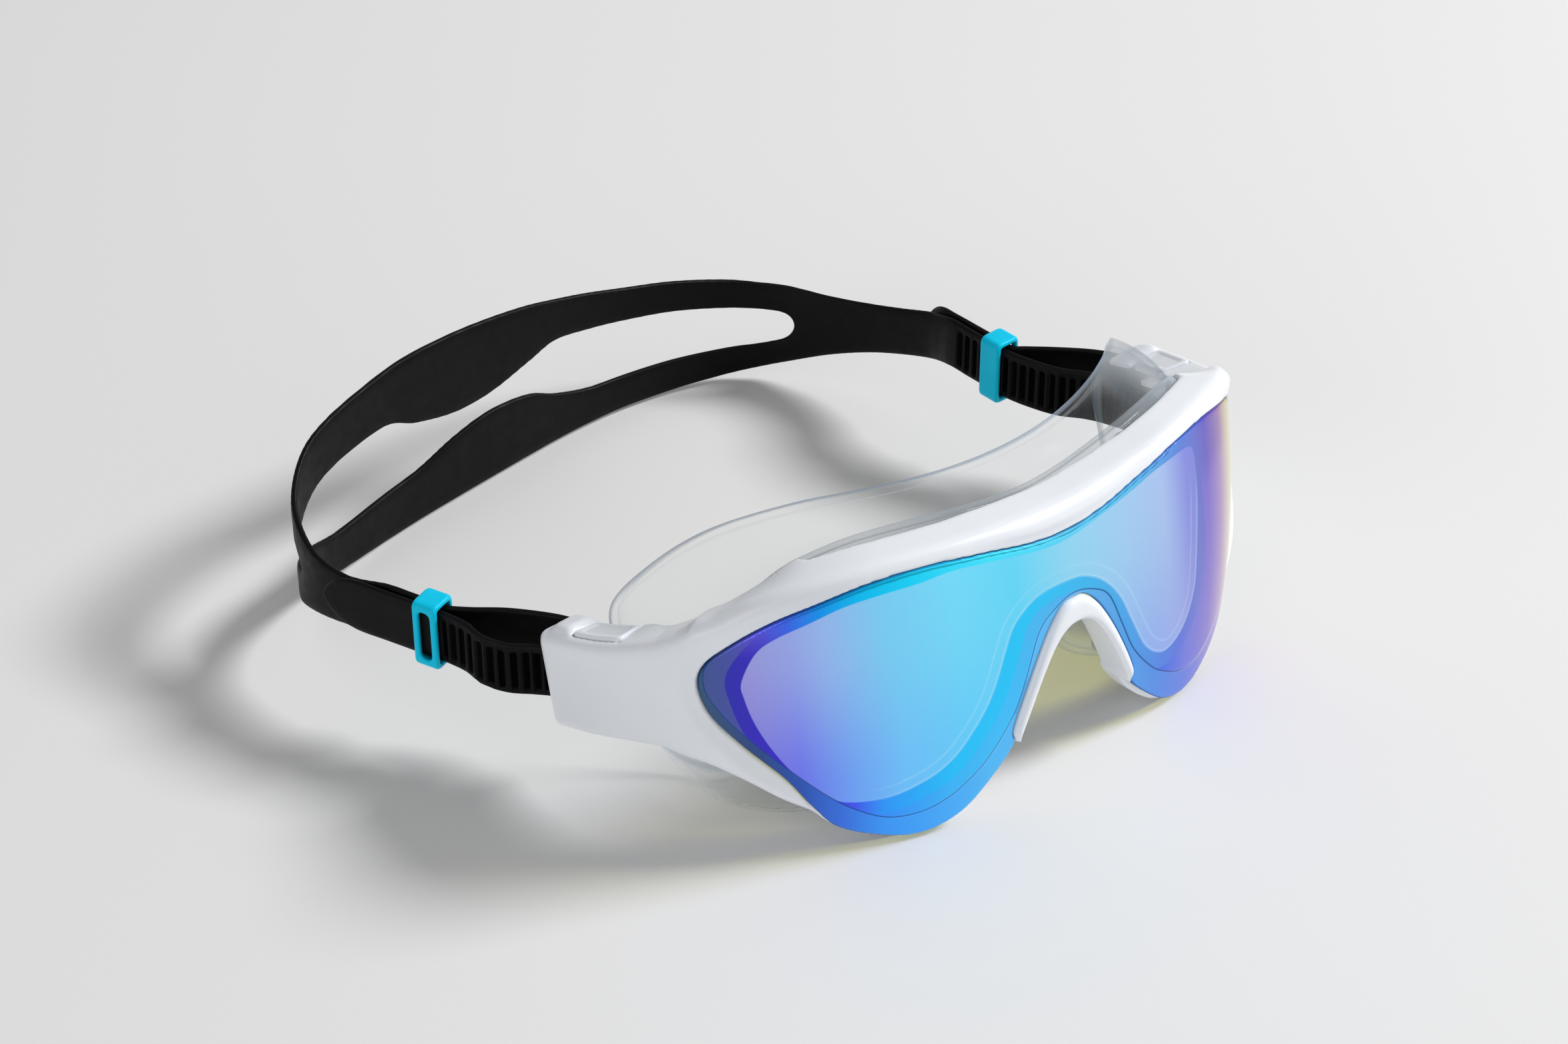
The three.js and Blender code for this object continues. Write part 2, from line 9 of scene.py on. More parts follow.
import bmesh
import bpy
import numpy as np
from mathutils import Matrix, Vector


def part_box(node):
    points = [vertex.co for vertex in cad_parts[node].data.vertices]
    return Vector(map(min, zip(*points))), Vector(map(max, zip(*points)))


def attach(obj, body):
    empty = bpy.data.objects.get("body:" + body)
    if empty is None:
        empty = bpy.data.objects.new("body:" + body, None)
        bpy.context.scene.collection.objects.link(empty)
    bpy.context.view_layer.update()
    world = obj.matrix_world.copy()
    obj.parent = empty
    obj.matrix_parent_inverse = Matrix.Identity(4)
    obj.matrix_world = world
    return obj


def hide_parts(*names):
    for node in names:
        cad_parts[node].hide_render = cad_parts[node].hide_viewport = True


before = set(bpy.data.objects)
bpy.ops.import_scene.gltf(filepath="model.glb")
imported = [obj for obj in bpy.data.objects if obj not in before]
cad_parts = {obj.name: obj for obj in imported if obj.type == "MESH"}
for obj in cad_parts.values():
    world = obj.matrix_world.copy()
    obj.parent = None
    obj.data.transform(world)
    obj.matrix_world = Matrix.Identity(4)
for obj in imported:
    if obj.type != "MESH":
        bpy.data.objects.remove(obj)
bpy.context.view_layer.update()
MM = 0.001

# ---- the curved wall: see at() ----
BROW_RADIUS, BROW_LENGTH = 234.8, 23.4
TEMPLE_RADIUS, TEMPLE_LENGTH = 62.7, 83.6
ARM_RADIUS = 400.0
LEAN, LEAN_CURVE, EYE_LEVEL = 0.096, 0.00256, 30.0

LENS_THICKNESS, GAP = 2.0, 0.3
LEDGE = -(LENS_THICKNESS + GAP)
FRAME_BACK, CARRIER_BACK = -8.0, -10.6
SEAL_WALL, SEAL_LIP = 1.3, 1.6
ARM_WALL, ARM_FRONT, ARM_BACK = 1.7, 0.9, -10.0
ARM_START, ARM_END, CAVITY_START = 73.0, 115.2, 89.0
ARM_SLANT, ARM_TILT, ARM_ROOF = 0.12, 0.17, 2.2
TILT_START = -1.5
CLIP_S, CLIP_D = 100.0, -7.0
BUTTON_START, BUTTON_END = 95.0, 107.8
BUTTON_HEIGHT, BUTTON_FRONT, BUTTON_REAR = 2.6, -1.8, -8.8
BUTTON_MIDDLE, BUTTON_HALF = (BUTTON_START + BUTTON_END) / 2, (BUTTON_END - BUTTON_START) / 2
STRAP_THICKNESS, LAYER_PITCH = 1.5, 2.0
STRAP_LOW, STRAP_HIGH = 19.7, 31.8

# The outlines of the right half as (s, z), from the top middle round to the nose. Each row of the
# lists is one place round the eye.
OUTER_EDGE = [
    (0, 61.5), (9.4, 61.8), (20.6, 62.4), (32.7, 62.8), (44.7, 62.2), (56.5, 60),
    (65.5, 56.9), (73.5, 52.6), (81, 48), (86, 36), (84, 24), (77, 20.3),
    (68.9, 15.8), (59.6, 9.9), (53, 5), (43.6, 0.6), (35.4, -0.8), (26.8, 2.2),
    (19.8, 7.8), (14.8, 14), (13.9, 17), (9.4, 26.8), (5.6, 33.1), (2.6, 35.7), (0, 36.3),
]
LENS_EDGE = [
    (0, 55.5), (9.4, 56.3), (20.6, 58.4), (32.7, 59.8), (44.7, 58.7), (56.5, 55),
    (64, 51.7), (70.9, 47.3), (76.7, 42.3), (78.6, 37.4), (76.7, 31.4), (71.2, 25.6),
    (63.2, 18.3), (57.9, 11.4), (52.8, 6), (43.1, 2.3), (35.4, 1), (27.4, 3.2),
    (20.7, 8.6), (15.5, 14.5), (15.7, 18.3), (11.2, 28.8), (6.8, 36.7), (3.1, 40.6), (0, 41.3),
]
WINDOW_EDGE = [
    (0, 53.4), (8.6, 54.2), (19, 56), (30, 57.2), (41.5, 56.6), (51, 54.2),
    (61, 50), (66.8, 45.6), (69.6, 41), (70.2, 36.5), (68.5, 31.5), (63, 23.6),
    (57, 15.9), (50.4, 10.9), (45, 8.6), (40, 8), (34.4, 9.6), (27.8, 16),
    (24, 23), (21, 29.5), (18.4, 34.6), (14, 39.8), (9, 43), (4.4, 44.4), (0, 44.8),
]
BAND = [1] * 13 + [0.8, 0.15, 0, 0, 0, 0, 0.4] + [1] * 5
FACE_EDGE = [
    (0, 23.3, 64.6), (10, 24, 64.6), (20, 26.5, 64.3), (30, 30.6, 63.8), (40, 36.6, 62.2),
    (50, 44.8, 57.6), (56, 50.6, 52.4), (61, 56, 45.5), (64, 60.5, 38.5), (65, 62, 33),
    (64.5, 61, 26), (64.2, 58, 17), (62.5, 53.5, 8.5), (59, 47.5, 3.4), (53.5, 40.5, 2.4),
    (43, 36.5, 2.4), (35.5, 32.5, 2.8), (28, 29.5, 4.6), (22, 27.5, 8.2), (17.5, 25.5, 13.5),
    (14.5, 23.5, 20), (11.5, 21, 27.5), (8, 19, 34), (4.2, 17.6, 38.4), (0, 17, 39.6),
]
SWELL = [2] * 5 + [2.5, 3, 3, 3, 3, 5.5, 8.5, 12, 15.5, 18, 12, 6, 4, 6, 7, 5, 3, 2, 1.5, 1.5]
SEAT = [1.6] * 5 + [1.5, 1.25, 0.9, 0.5, 0.4, 0.4, 0.4, 0.5] + [0.6] * 5 + [0.7] + [0.8] * 6
ARM_TOP = [(78, 49.5), (86.2, 45.4), (95, 41.8), (101, 39.8), (107.8, 37.8), (112, 36.4), (115, 35.4)]
ARM_BOTTOM = [(78, 21.6), (86.2, 21.4), (94.7, 19.8), (104, 17.2), (112.6, 14.8), (115, 15.6)]
STATIONS_PER_ROW = 10


def wall_plan(s):
    """Plan place and heading of the wall at arc length s from the middle of the nose."""
    left = np.abs(s)
    x, y, turn = np.zeros_like(left), np.zeros_like(left), np.zeros_like(left)
    for radius, length in (
        (BROW_RADIUS, BROW_LENGTH), (TEMPLE_RADIUS, TEMPLE_LENGTH), (ARM_RADIUS, 1e6)
    ):
        after = turn + np.minimum(left, length) / radius
        x += radius * (np.sin(after) - np.sin(turn))
        y += radius * (np.cos(turn) - np.cos(after))
        turn = after
        left = np.maximum(0, left - length)
    side = np.where(np.asarray(s) < 0, -1.0, 1.0)
    return side * x, y, side * turn


def at(s, z, d):
    """The point d in front of the wall, at arc length s and height z; arrays broadcast."""
    s, z, d = np.broadcast_arrays(*(np.asarray(v, float) for v in (s, z, d)))
    x, y, turn = wall_plan(s)
    rise = z - EYE_LEVEL
    lean = LEAN * rise + LEAN_CURVE * rise * rise
    return np.stack([x + d * np.sin(turn), y - d * np.cos(turn) + lean, z], -1)


def along(rows, s):
    keys, values = np.array(rows, float).T
    return np.interp(s, keys, values)


def smooth_rows(rows, steps, wrap=False):
    """Catmull-Rom through rows of numbers."""
    p = np.array(rows, float)
    n = len(p)
    pick = (lambda i: p[np.mod(i, n)]) if wrap else (lambda i: p[np.clip(i, 0, n - 1)])
    base = np.arange(n if wrap else n - 1)
    a, b, c, e = (pick(base + k)[:, None, :] for k in (-1, 0, 1, 2))
    t = (np.arange(steps) / steps)[None, :, None]
    made = b + 0.5 * t * (c - a + t * (2 * a - 5 * b + 4 * c - e + t * (3 * (b - c) + e - a)))
    made = made.reshape(-1, p.shape[1])
    return made if wrap else np.vstack([made, p[-1:]])


def around_face(rows, steps=STATIONS_PER_ROW):
    """A right-half list carried round the left half as well."""
    right = np.array(rows, float).reshape(len(rows), -1)
    left = right[1:-1][::-1].copy()
    if right.shape[1] > 1:
        left[:, 0] *= -1
    return smooth_rows(np.vstack([right, left]), steps, wrap=True)


outer, lens_edge, window_edge = around_face(OUTER_EDGE), around_face(LENS_EDGE), around_face(WINDOW_EDGE)
face_edge, band = around_face(FACE_EDGE), around_face(BAND)[:, 0]
swell, seat = around_face(SWELL)[:, 0], around_face(SEAT)[:, 0]


def outward():
    """Unit directions away from the eye, in (s, z), square to the lens's edge."""
    ahead, behind = np.roll(lens_edge, -1, 0), np.roll(lens_edge, 1, 0)
    step = ahead - behind
    step /= np.linalg.norm(step, axis=1, keepdims=True)
    return np.stack([-step[:, 1], step[:, 0]], -1)


OUTWARD = outward()


def across(place, d, extra=0.0):
    """One point per station: place is 0 at the window's edge, 1 at the lens's, 2 at the frame's."""
    place = np.broadcast_to(np.asarray(place, float), (len(outer),))[:, None]
    inner_part = window_edge + (lens_edge - window_edge) * np.minimum(place, 1)
    outer_part = lens_edge + (outer - lens_edge) * np.maximum(place - 1, 0)
    flat = np.where(place < 1, inner_part, outer_part) + extra * OUTWARD
    return at(flat[:, 0], flat[:, 1], d)


# The place of the mask's own frame in the row's frame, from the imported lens.
lens_low, lens_high = (np.array(v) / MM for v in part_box("lens"))
lens_rows = at(lens_edge[:, 0], lens_edge[:, 1], 0)
MASK_SHIFT = np.array([(lens_low[0] + lens_high[0]) / 2, lens_low[1] - lens_rows[:, 1].min(), 0])


# ---- mesh tools ----
def add_mesh(name, points, faces):
    mesh = bpy.data.meshes.new(name)
    mesh.from_pydata(((np.asarray(points) + MASK_SHIFT) * MM).tolist(), [], faces)
    mesh.validate()
    piece = bpy.data.objects.new(name, mesh)
    bpy.context.scene.collection.objects.link(piece)
    bm = bmesh.new()
    bm.from_mesh(mesh)
    bmesh.ops.remove_doubles(bm, verts=bm.verts, dist=1e-7)
    bmesh.ops.recalc_face_normals(bm, faces=bm.faces)
    bm.to_mesh(mesh)
    bm.free()
    mesh.polygons.foreach_set("use_smooth", [True] * len(mesh.polygons))
    return piece


def loft(name, sections):
    """Skins a closed row of stations, each of them a closed ring of points."""
    rows, n = sections.shape[:2]
    faces = []
    for i in range(rows):
        a, b = i * n, ((i + 1) % rows) * n
        for k in range(n):
            m = (k + 1) % n
            faces.append((a + k, a + m, b + m, b + k))
    return add_mesh(name, sections.reshape(-1, 3), faces)


def distance_to(line, points):
    """Distance of each (s, z) point to a closed line, positive inside it."""
    a, b = line, np.roll(line, -1, 0)
    ab = b - a
    best = np.full(len(points), 1e9)
    inside = np.zeros(len(points), bool)
    for i in range(len(a)):
        ap = points - a[i]
        t = np.clip(ap @ ab[i] / max(ab[i] @ ab[i], 1e-12), 0, 1)
        best = np.minimum(best, np.linalg.norm(ap - t[:, None] * ab[i], axis=1))
        spans = (a[i, 1] > points[:, 1]) != (b[i, 1] > points[:, 1])
        cut = a[i, 0] + (points[:, 1] - a[i, 1]) * ab[i, 0] / (ab[i, 1] if ab[i, 1] else 1e-9)
        inside ^= spans & (points[:, 0] < cut)
    return np.where(inside, best, -best)


def put_attribute(piece, name, values):
    layer = piece.data.attributes.new(name, "FLOAT", "POINT")
    layer.data.foreach_set("value", np.asarray(values, np.float32))


# ---- material tools ----
class Nodes:
    """A short hand for building one material's node tree."""

    def __init__(self, name):
        self.material = bpy.data.materials.new(name)
        self.material.use_nodes = True
        self.tree = self.material.node_tree
        self.shader = self.tree.nodes["Principled BSDF"]

    def add(self, kind, **settings):
        node = self.tree.nodes.new(kind)
        for key, value in settings.items():
            if key in node.inputs:
                node.inputs[key].default_value = value
            else:
                setattr(node, key, value)
        return node

    def link(self, source, target):
        self.tree.links.new(source, target)

    def set(self, **values):
        for key, value in values.items():
            self.shader.inputs[key.replace("_", " ")].default_value = value

    def coordinates(self):
        return self.add("ShaderNodeTexCoord").outputs["Object"]

    def noise(self, scale, detail=3.0, roughness=0.55, distortion=0.0):
        node = self.add(
            "ShaderNodeTexNoise", Scale=scale, Detail=detail, Roughness=roughness, Distortion=distortion
        )
        self.link(self.coordinates(), node.inputs["Vector"])
        return node.outputs["Fac"]

    def ramp(self, factor, stops):
        node = self.add("ShaderNodeValToRGB")
        elements = node.color_ramp.elements
        while len(elements) < len(stops):
            elements.new(0.5)
        for element, (place, colour) in zip(elements, sorted(stops, key=lambda stop: stop[0])):
            element.position = place
            element.color = (*colour, 1)
        self.link(factor, node.inputs["Fac"])
        return node.outputs["Color"]

    def mapped(self, value, low, high, to_low=0.0, to_high=1.0, smooth=False):
        node = self.add("ShaderNodeMapRange", clamp=True)
        if smooth:
            node.interpolation_type = "SMOOTHSTEP"
        for socket, number in zip(node.inputs[1:5], (low, high, to_low, to_high)):
            socket.default_value = number
        self.link(value, node.inputs[0])
        return node.outputs[0]

    def attribute(self, name):
        return self.add("ShaderNodeAttribute", attribute_name=name).outputs["Fac"]

    def blend(self, factor, first, second):
        node = self.add("ShaderNodeMix", data_type="RGBA")
        for socket, value in ((node.inputs[0], factor), (node.inputs[6], first), (node.inputs[7], second)):
            if isinstance(value, bpy.types.NodeSocket):
                self.link(value, socket)
            elif isinstance(value, tuple):
                socket.default_value = (*value, 1)
            else:
                socket.default_value = value
        return node.outputs[2]

    def maths(self, operation, first, second=0.0):
        node = self.add("ShaderNodeMath", operation=operation)
        for socket, value in zip(node.inputs, (first, second)):
            if isinstance(value, bpy.types.NodeSocket):
                self.link(value, socket)
            else:
                socket.default_value = value
        return node.outputs[0]

    def bump(self, height, strength, distance):
        node = self.add("ShaderNodeBump", Strength=strength, Distance=distance)
        self.link(height, node.inputs["Height"])
        self.link(node.outputs["Normal"], self.shader.inputs["Normal"])


def srgb(*values):
    """Linear colour of a display colour given as 0 to 255."""
    return tuple((v / 255) ** 2.2 for v in values)


def paint(piece, material):
    piece.data.materials.clear()
    piece.data.materials.append(material)
    return piece


# ---- shapes drawn as a field that is below zero inside ----
def smooth_max(a, b, k):
    h = np.maximum(k - np.abs(a - b), 0) / k
    return np.maximum(a, b) + h * h * k / 4


def smooth_min(a, b, k):
    return -smooth_max(-a, -b, k)


def smooth_step(value, low, high):
    t = np.clip((value - low) / (high - low), 0, 1)
    return t * t * (3 - 2 * t)


def grid(*ranges):
    """Grid lines for (low, high, step) along each axis."""
    return [low + step * np.arange(int(round((high - low) / step)) + 1) for low, high, step in ranges]


def surface_net(field, axes):
    """Skins the places where the field passes zero, with one point in each cell that it crosses."""
    shape = np.array(field.shape)
    cells = tuple(shape - 1)
    total, count = np.zeros(cells + (3,)), np.zeros(cells)
    crossings = []
    for axis in range(3):
        first = [slice(None)] * 3
        second = [slice(None)] * 3
        first[axis], second[axis] = slice(None, -1), slice(1, None)
        a, b = field[tuple(first)], field[tuple(second)]
        at_edge = np.argwhere((a < 0) != (b < 0))
        picked = tuple(at_edge.T)
        share = a[picked] / (a[picked] - b[picked])
        place = at_edge.astype(float)
        place[:, axis] += share
        around = []
        others = [k for k in range(3) if k != axis]
        for one, two in ((0, 0), (1, 0), (1, 1), (0, 1)):
            cell = at_edge.copy()
            cell[:, others[0]] -= one
            cell[:, others[1]] -= two
            around.append(cell)
            np.add.at(total, tuple(cell.T), place)
            np.add.at(count, tuple(cell.T), 1)
        crossings.append((around, (a[picked] < 0) != (axis == 1)))
    used = count > 0
    number = np.full(cells, -1)
    number[used] = np.arange(used.sum())
    middle = total[used] / count[used][:, None]
    points = np.stack([np.interp(middle[:, k], np.arange(shape[k]), axes[k]) for k in range(3)], -1)
    faces = []
    for around, turned in crossings:
        ids = np.stack([number[tuple(cell.T)] for cell in around], -1)
        ids[turned] = ids[turned][:, ::-1]
        faces.append(ids)
    return points, np.vstack(faces)


def field_piece(name, field, axes, place):
    """A piece with its faces outward; place moves its points to the mask's own frame."""
    points, faces = surface_net(field, axes)
    placed = (place(points) + MASK_SHIFT) * MM
    a, b, c, e = (placed[faces[:, k]] for k in range(4))
    if (a * (np.cross(b, c) + np.cross(c, e))).sum() < 0:
        faces = faces[:, ::-1]
    piece = bpy.data.objects.new(name, bpy.data.meshes.new(name))
    piece.data.from_pydata(placed.tolist(), [], faces.tolist())
    bpy.context.scene.collection.objects.link(piece)
    piece.data.polygons.foreach_set("use_smooth", [True] * len(piece.data.polygons))
    piece.data.update()
    return piece, points


def both_halves(field, axes):
    """Mirrors a field that starts at s = 0 to the left half."""
    return np.concatenate([field[:0:-1], field]), [np.concatenate([-axes[0][:0:-1], axes[0]]), *axes[1:]]


def on_wall(points):
    return at(points[:, 0], points[:, 1], points[:, 2])


def half_field(ranges):
    """Axes, a 3-D grid and a flat (s, z) grid over the right half of the wall."""
    axes = grid(*ranges)
    s, z, d = np.meshgrid(*axes, indexing="ij")
    flat = np.stack(np.meshgrid(axes[0], axes[1], indexing="ij"), -1)
    return axes, s, z, d, flat


def inside_of(line, flat):
    """How far inside a closed line each point of the flat grid is, as a layer of a 3-D field."""
    return distance_to(line, flat.reshape(-1, 2)).reshape(flat.shape[:2])[:, :, None]


def nearest_value(line, values, flat):
    """The value that belongs to the nearest station of the line."""
    points = flat.reshape(-1, 2)
    best, found = np.full(len(points), 1e9), np.zeros(len(points))
    for place, value in zip(line, values):
        away = np.hypot(*(points - place).T)
        nearer = away < best
        best[nearer], found[nearer] = away[nearer], value
    return found.reshape(flat.shape[:2])[:, :, None]


# ---- lens ----
# A fine step runs round the lower lens; over the brow it is beyond the lens's edge.
STEP_EDGE = [
    (0, 66), (60, 64), (73, 50), (74.6, 45), (76.6, 42.2), (77.4, 39.2), (76.9, 35.9), (74.4, 32.1),
    (70.7, 28.1), (65.7, 23.5), (61.1, 19.4), (55.2, 14.2), (50, 10.4), (43.5, 7.2), (36.8, 6.7),
    (31, 8.2), (25.5, 11.4), (21.2, 15), (15.8, 22), (12.4, 29.7), (9.2, 37.4), (5.5, 40.6), (0, 42.3),
]
# The border of the pale middle, which is painted light: the coating is painted paler inside it, as if lit
# from behind the lens. It isn't the same on the two sides.
LIT_MIDDLE_EDGE = [
    (0, 54), (-7.7, 54.4), (-17.4, 56.2), (-27, 57.6), (-34.2, 57.2), (-41.8, 56.6), (-49.2, 55.2),
    (-56.1, 52.4), (-62.5, 49.4), (-66.7, 46), (-69.9, 39.8), (-69.7, 36.2), (-68.1, 30.8),
    (-64.9, 24.7), (-59.9, 17.9), (-55.2, 13.8), (-50, 12.2), (-43.1, 12.4), (-37.3, 14),
    (-32.8, 15.9), (-29.1, 18.6), (-26.1, 21.9), (-23.3, 25.4), (-21.2, 28.8), (-19.4, 32.7),
    (-17.3, 37.8), (-14.7, 42.2), (-8.6, 45.6), (0, 45.6), (5, 43.8), (9, 40.5), (12.4, 35.7),
    (15.2, 29.5), (19.5, 21), (25.2, 16.9), (31.3, 19.2), (35.2, 25.5), (36.3, 33.1), (37, 40.7),
    (37.6, 48.2), (37.4, 55.4), (34, 57.4), (25, 57.6), (18.5, 56.6), (10.4, 55.4),
]


STEP_DROP = 0.22


def make_lens():
    axes, s, z, d, flat = half_field(((0, 80, 0.5), (0, 61, 0.5), (-2.75, 1, 0.25)))
    step_edge, lit_middle_edge = around_face(STEP_EDGE, 6), smooth_rows(LIT_MIDDLE_EDGE, 5, wrap=True)
    edge, step = inside_of(lens_edge, flat), inside_of(step_edge, flat)
    front = -STEP_DROP * smooth_step(-step, -0.35, 0.35)
    field = smooth_max(smooth_max(d - front, -LENS_THICKNESS - d, 0.3), -edge, 0.45)
    field, axes = both_halves(field, axes)
    piece, points = field_piece("lens_plate", field, axes, on_wall)
    spread = points[:, :2].copy()
    spread[:, 0] = np.abs(spread[:, 0])
    put_attribute(piece, "arc", points[:, 0])
    put_attribute(piece, "height", points[:, 1])
    put_attribute(piece, "depth", points[:, 2])
    put_attribute(piece, "lit_middle", distance_to(lit_middle_edge, points[:, :2]))
    put_attribute(piece, "step", distance_to(step_edge, spread))
    put_attribute(piece, "edge", distance_to(lens_edge, spread))
    return piece


# ---- frame ----
POCKET_GAP, NOTCH_GAP, FLOOR_GAP = 0.12, 0.15, 0.05
FLANGE_START, FLANGE_WIDTH, FLANGE_WIDTH_AT_ARM = 54, 1.7, 4.7
RIM_FALL = 0.28
HUMP_S, HUMP_D, HUMP_RISE = 111.6, -5.6, 1.3
FRAME_REACH = 117.4


def arm_field(s, z):
    """How far inside the arm's side view each place is."""
    top = np.interp(s, *np.array(ARM_TOP, float).T)
    bottom = np.interp(s, *np.array(ARM_BOTTOM, float).T)
    end = ARM_END + ARM_SLANT * (z - (top + bottom) / 2) - 0.003 * (z - 26) ** 2
    inside = -smooth_max(smooth_max(z - top, bottom - z, 1), s - end, 1.4)
    return -smooth_max(-inside, ARM_START - s, 0.5), top, bottom, end


def make_frame():
    axes, s, z, d, flat = half_field(((0, 118, 0.5), (-0.9, 65.1, 0.5), (-13, 2.5, 0.5)))
    rim, lens, window = (inside_of(line, flat) for line in (outer, lens_edge, window_edge))
    arm, top, bottom, end = arm_field(flat[:, :, 0], flat[:, :, 1])
    arm, top, bottom, end = (v[:, :, None] for v in (arm, top, bottom, end))
    inside = -smooth_min(-rim, -arm, 1 + 5 * smooth_step(-z, -40, -28))
    stand = nearest_value(outer, band, flat)
    stand = np.where(flat[:, :, :1] < 24, smooth_step(flat[:, :, 1:], 14, 15.2) * (stand > 0.2), stand)
    by_brow = np.maximum(smooth_step(s, 16, 26), smooth_step(z, 44, 50))
    beside = by_brow * smooth_step(-lens, GAP, 4) + (1 - by_brow) * smooth_step(-lens, 0, 1)
    front = LEDGE + (ARM_FRONT * beside - LEDGE) * stand

    # Towards the arm a flange makes the rim deeper, and its top falls towards the head.
    behind = np.clip(d - TILT_START, None, 0)
    width = FLANGE_WIDTH + (FLANGE_WIDTH_AT_ARM - FLANGE_WIDTH) * smooth_step(s, 60, 80)
    flange = smooth_step(s, FLANGE_START, FLANGE_START + 3) * smooth_step(z, 34, 41)
    flange = flange * smooth_step(width - inside, 0, 0.6)
    back = FRAME_BACK + (ARM_BACK - FRAME_BACK) * np.maximum(smooth_step(s, 84, 92), 0.8 * flange)
    fall = RIM_FALL * smooth_step(s, FLANGE_START, 69) * smooth_step(-s, -98, -86) * smooth_step(z, 28, 36)
    inside = inside + fall * behind
    body = smooth_max(d - front, -inside, 0.8 + 2.6 * smooth_step(stand, 0.2, 0.8) * by_brow)
    body = smooth_max(body, back - d, 1.2)

    # The lens's seat, and the opening behind it that widens towards the eye.
    pocket = smooth_max(-(lens + POCKET_GAP), LEDGE - d, 0.2)
    funnel = -(window + 0.5 * np.clip(LEDGE - 2 - d, 0, None))
    body = smooth_max(body, -smooth_min(pocket, funnel, 0.3), 0.4)

    # The arm's sloping top, with a hump behind the button.
    tilt = ARM_TILT * smooth_step(s, 76, 98) * behind
    body = smooth_max(body, z - top - tilt - 20 * smooth_step(-s, -79, -75), 0.8)
    hump = smooth_max(np.abs(s - HUMP_S + 0.2 * (d - HUMP_D)) - 3.2, np.abs(d - HUMP_D) - 4.2, 2)
    hump = smooth_max(hump, z - top - tilt - HUMP_RISE, 2)
    hump = smooth_max(smooth_max(hump, top - 4 - z, 0.5), s - end, 2.5)
    body = smooth_min(body, hump, 1)

    # The hollow for the strap and its clip, and the button's notch.
    cavity = smooth_max(bottom + ARM_WALL - z, z - (top - ARM_ROOF), 1.5)
    cavity = smooth_max(cavity, d - (ARM_FRONT - 2.2), 1.5)
    cavity = smooth_max(cavity, CAVITY_START - s, 1.5)
    notch = smooth_max(np.abs(s - BUTTON_MIDDLE) - BUTTON_HALF - NOTCH_GAP, top - ARM_ROOF - 1 - z, 0.3)
    notch = smooth_max(notch, d - (BUTTON_FRONT + NOTCH_GAP), 0.3)
    body = smooth_max(smooth_max(body, -cavity, 0.6), -notch, 0.3)
    body = smooth_max(body, FLOOR_GAP - z, 0.3)
    field, axes = both_halves(np.maximum(body, np.abs(s) - FRAME_REACH), axes)
    return field_piece("frame_shell", field, axes, on_wall)[0]


def make_button(side):
    axes = grid((93, 110, 0.25), (30, 46, 0.25), (-11, 0, 0.25))
    s, z, d = np.meshgrid(*axes, indexing="ij")
    top = np.interp(s, *np.array(ARM_TOP, float).T)
    depth, half_depth = (BUTTON_FRONT + BUTTON_REAR) / 2, (BUTTON_FRONT - BUTTON_REAR) / 2
    along_arm, over = np.abs(s - BUTTON_MIDDLE) - BUTTON_HALF, np.abs(d - depth) - half_depth
    dish = 0.25 * smooth_step(-smooth_max(along_arm, over, 1), 0.9, 1.8)
    tilt = ARM_TILT * np.clip(d - TILT_START, None, 0)
    field = smooth_max(smooth_max(along_arm, over, 1.2), z - top - tilt - 0.45 + dish, 0.7)
    field = smooth_max(field, top - BUTTON_HEIGHT - z, 0.4)
    name = "button_left" if side < 0 else "button_right"
    return field_piece(name, field, axes, lambda p: on_wall(p * [side, 1, 1]))[0]


# ---- carrier and face seal ----
def face_out(place):
    """Unit directions away from the eye, level with the wall's upright, at each station."""
    out = across(place, 0, 1) - across(place, 0, 0)
    out[:, 1] = 0
    return out / np.linalg.norm(out, axis=1, keepdims=True)


def make_carrier():
    profile = []
    half_width, front, back, corner = 1.4, FRAME_BACK - GAP, CARRIER_BACK, 0.45
    for across_sign, depth, start in ((-1, front, 180), (1, front, 90), (1, back, 0), (-1, back, -90)):
        for k in range(4):
            angle = math.radians(start - 30 * k)
            inset = -corner if depth == front else corner
            profile.append(
                (across_sign * (half_width - corner) + corner * math.cos(angle),
                 depth + inset + corner * math.sin(angle))
            )
    rings = np.stack([across(seat, depth, extra) for extra, depth in profile], 1)
    return loft("seal_carrier_ring", rings)


def make_seal():
    start = across(seat, CARRIER_BACK - GAP, 0.6)
    end = face_edge.copy()
    out = face_out(seat)
    bend = (start + end) / 2 + out * swell[:, None]
    upright = np.array([0, 1, 0])
    steps = np.linspace(0, 1, 22)
    wall = [(1 - t) ** 2 * start + 2 * t * (1 - t) * bend + t * t * end for t in steps]
    wall_in = [
        p - out * SEAL_WALL - upright * SEAL_WALL * smooth_step(t, 0.8, 1) for p, t in zip(wall, steps)
    ]
    lip = end - out * SEAL_LIP + [0, 0.6, 0]
    under = lip - upright * SEAL_WALL
    turn = end + out * 0.25 + upright * 0.1
    curl = [(1 - t) ** 2 * end + 2 * t * (1 - t) * turn + t * t * lip for t in np.linspace(0.2, 0.9, 6)]
    bead = lip - out * 0.45 - upright * SEAL_WALL / 2
    bottom = [wall_in[-1] + (under - wall_in[-1]) * t for t in (0.8, 0.5, 0.2)]
    rings = np.stack([*wall, *curl, lip, bead, under, *bottom, *wall_in[::-1]], 1)
    rings[:, :, 2] = np.maximum(rings[:, :, 2], 0.8)
    piece = loft("face_skirt", rings)
    places = np.array([v.co for v in piece.data.vertices]) / MM - MASK_SHIFT
    away = np.min([np.linalg.norm(places - p, axis=1) for p in end], axis=0)
    put_attribute(piece, "lip", smooth_step(-away, -1.3, -0.7))
    # The turned-up far end of the seal gets a painted refraction of the strap.
    put_attribute(piece, "turned", smooth_step(places[:, 0], 42, 50) * smooth_step(places[:, 2], 28, 37))
    return piece


# ---- strap ----
KEEPERS = {
    "left": (-1, (-88.2, 88.2), (0.358, -0.934)),
    "right": (1, (60, 87.5), (0.04, -0.999)),
}


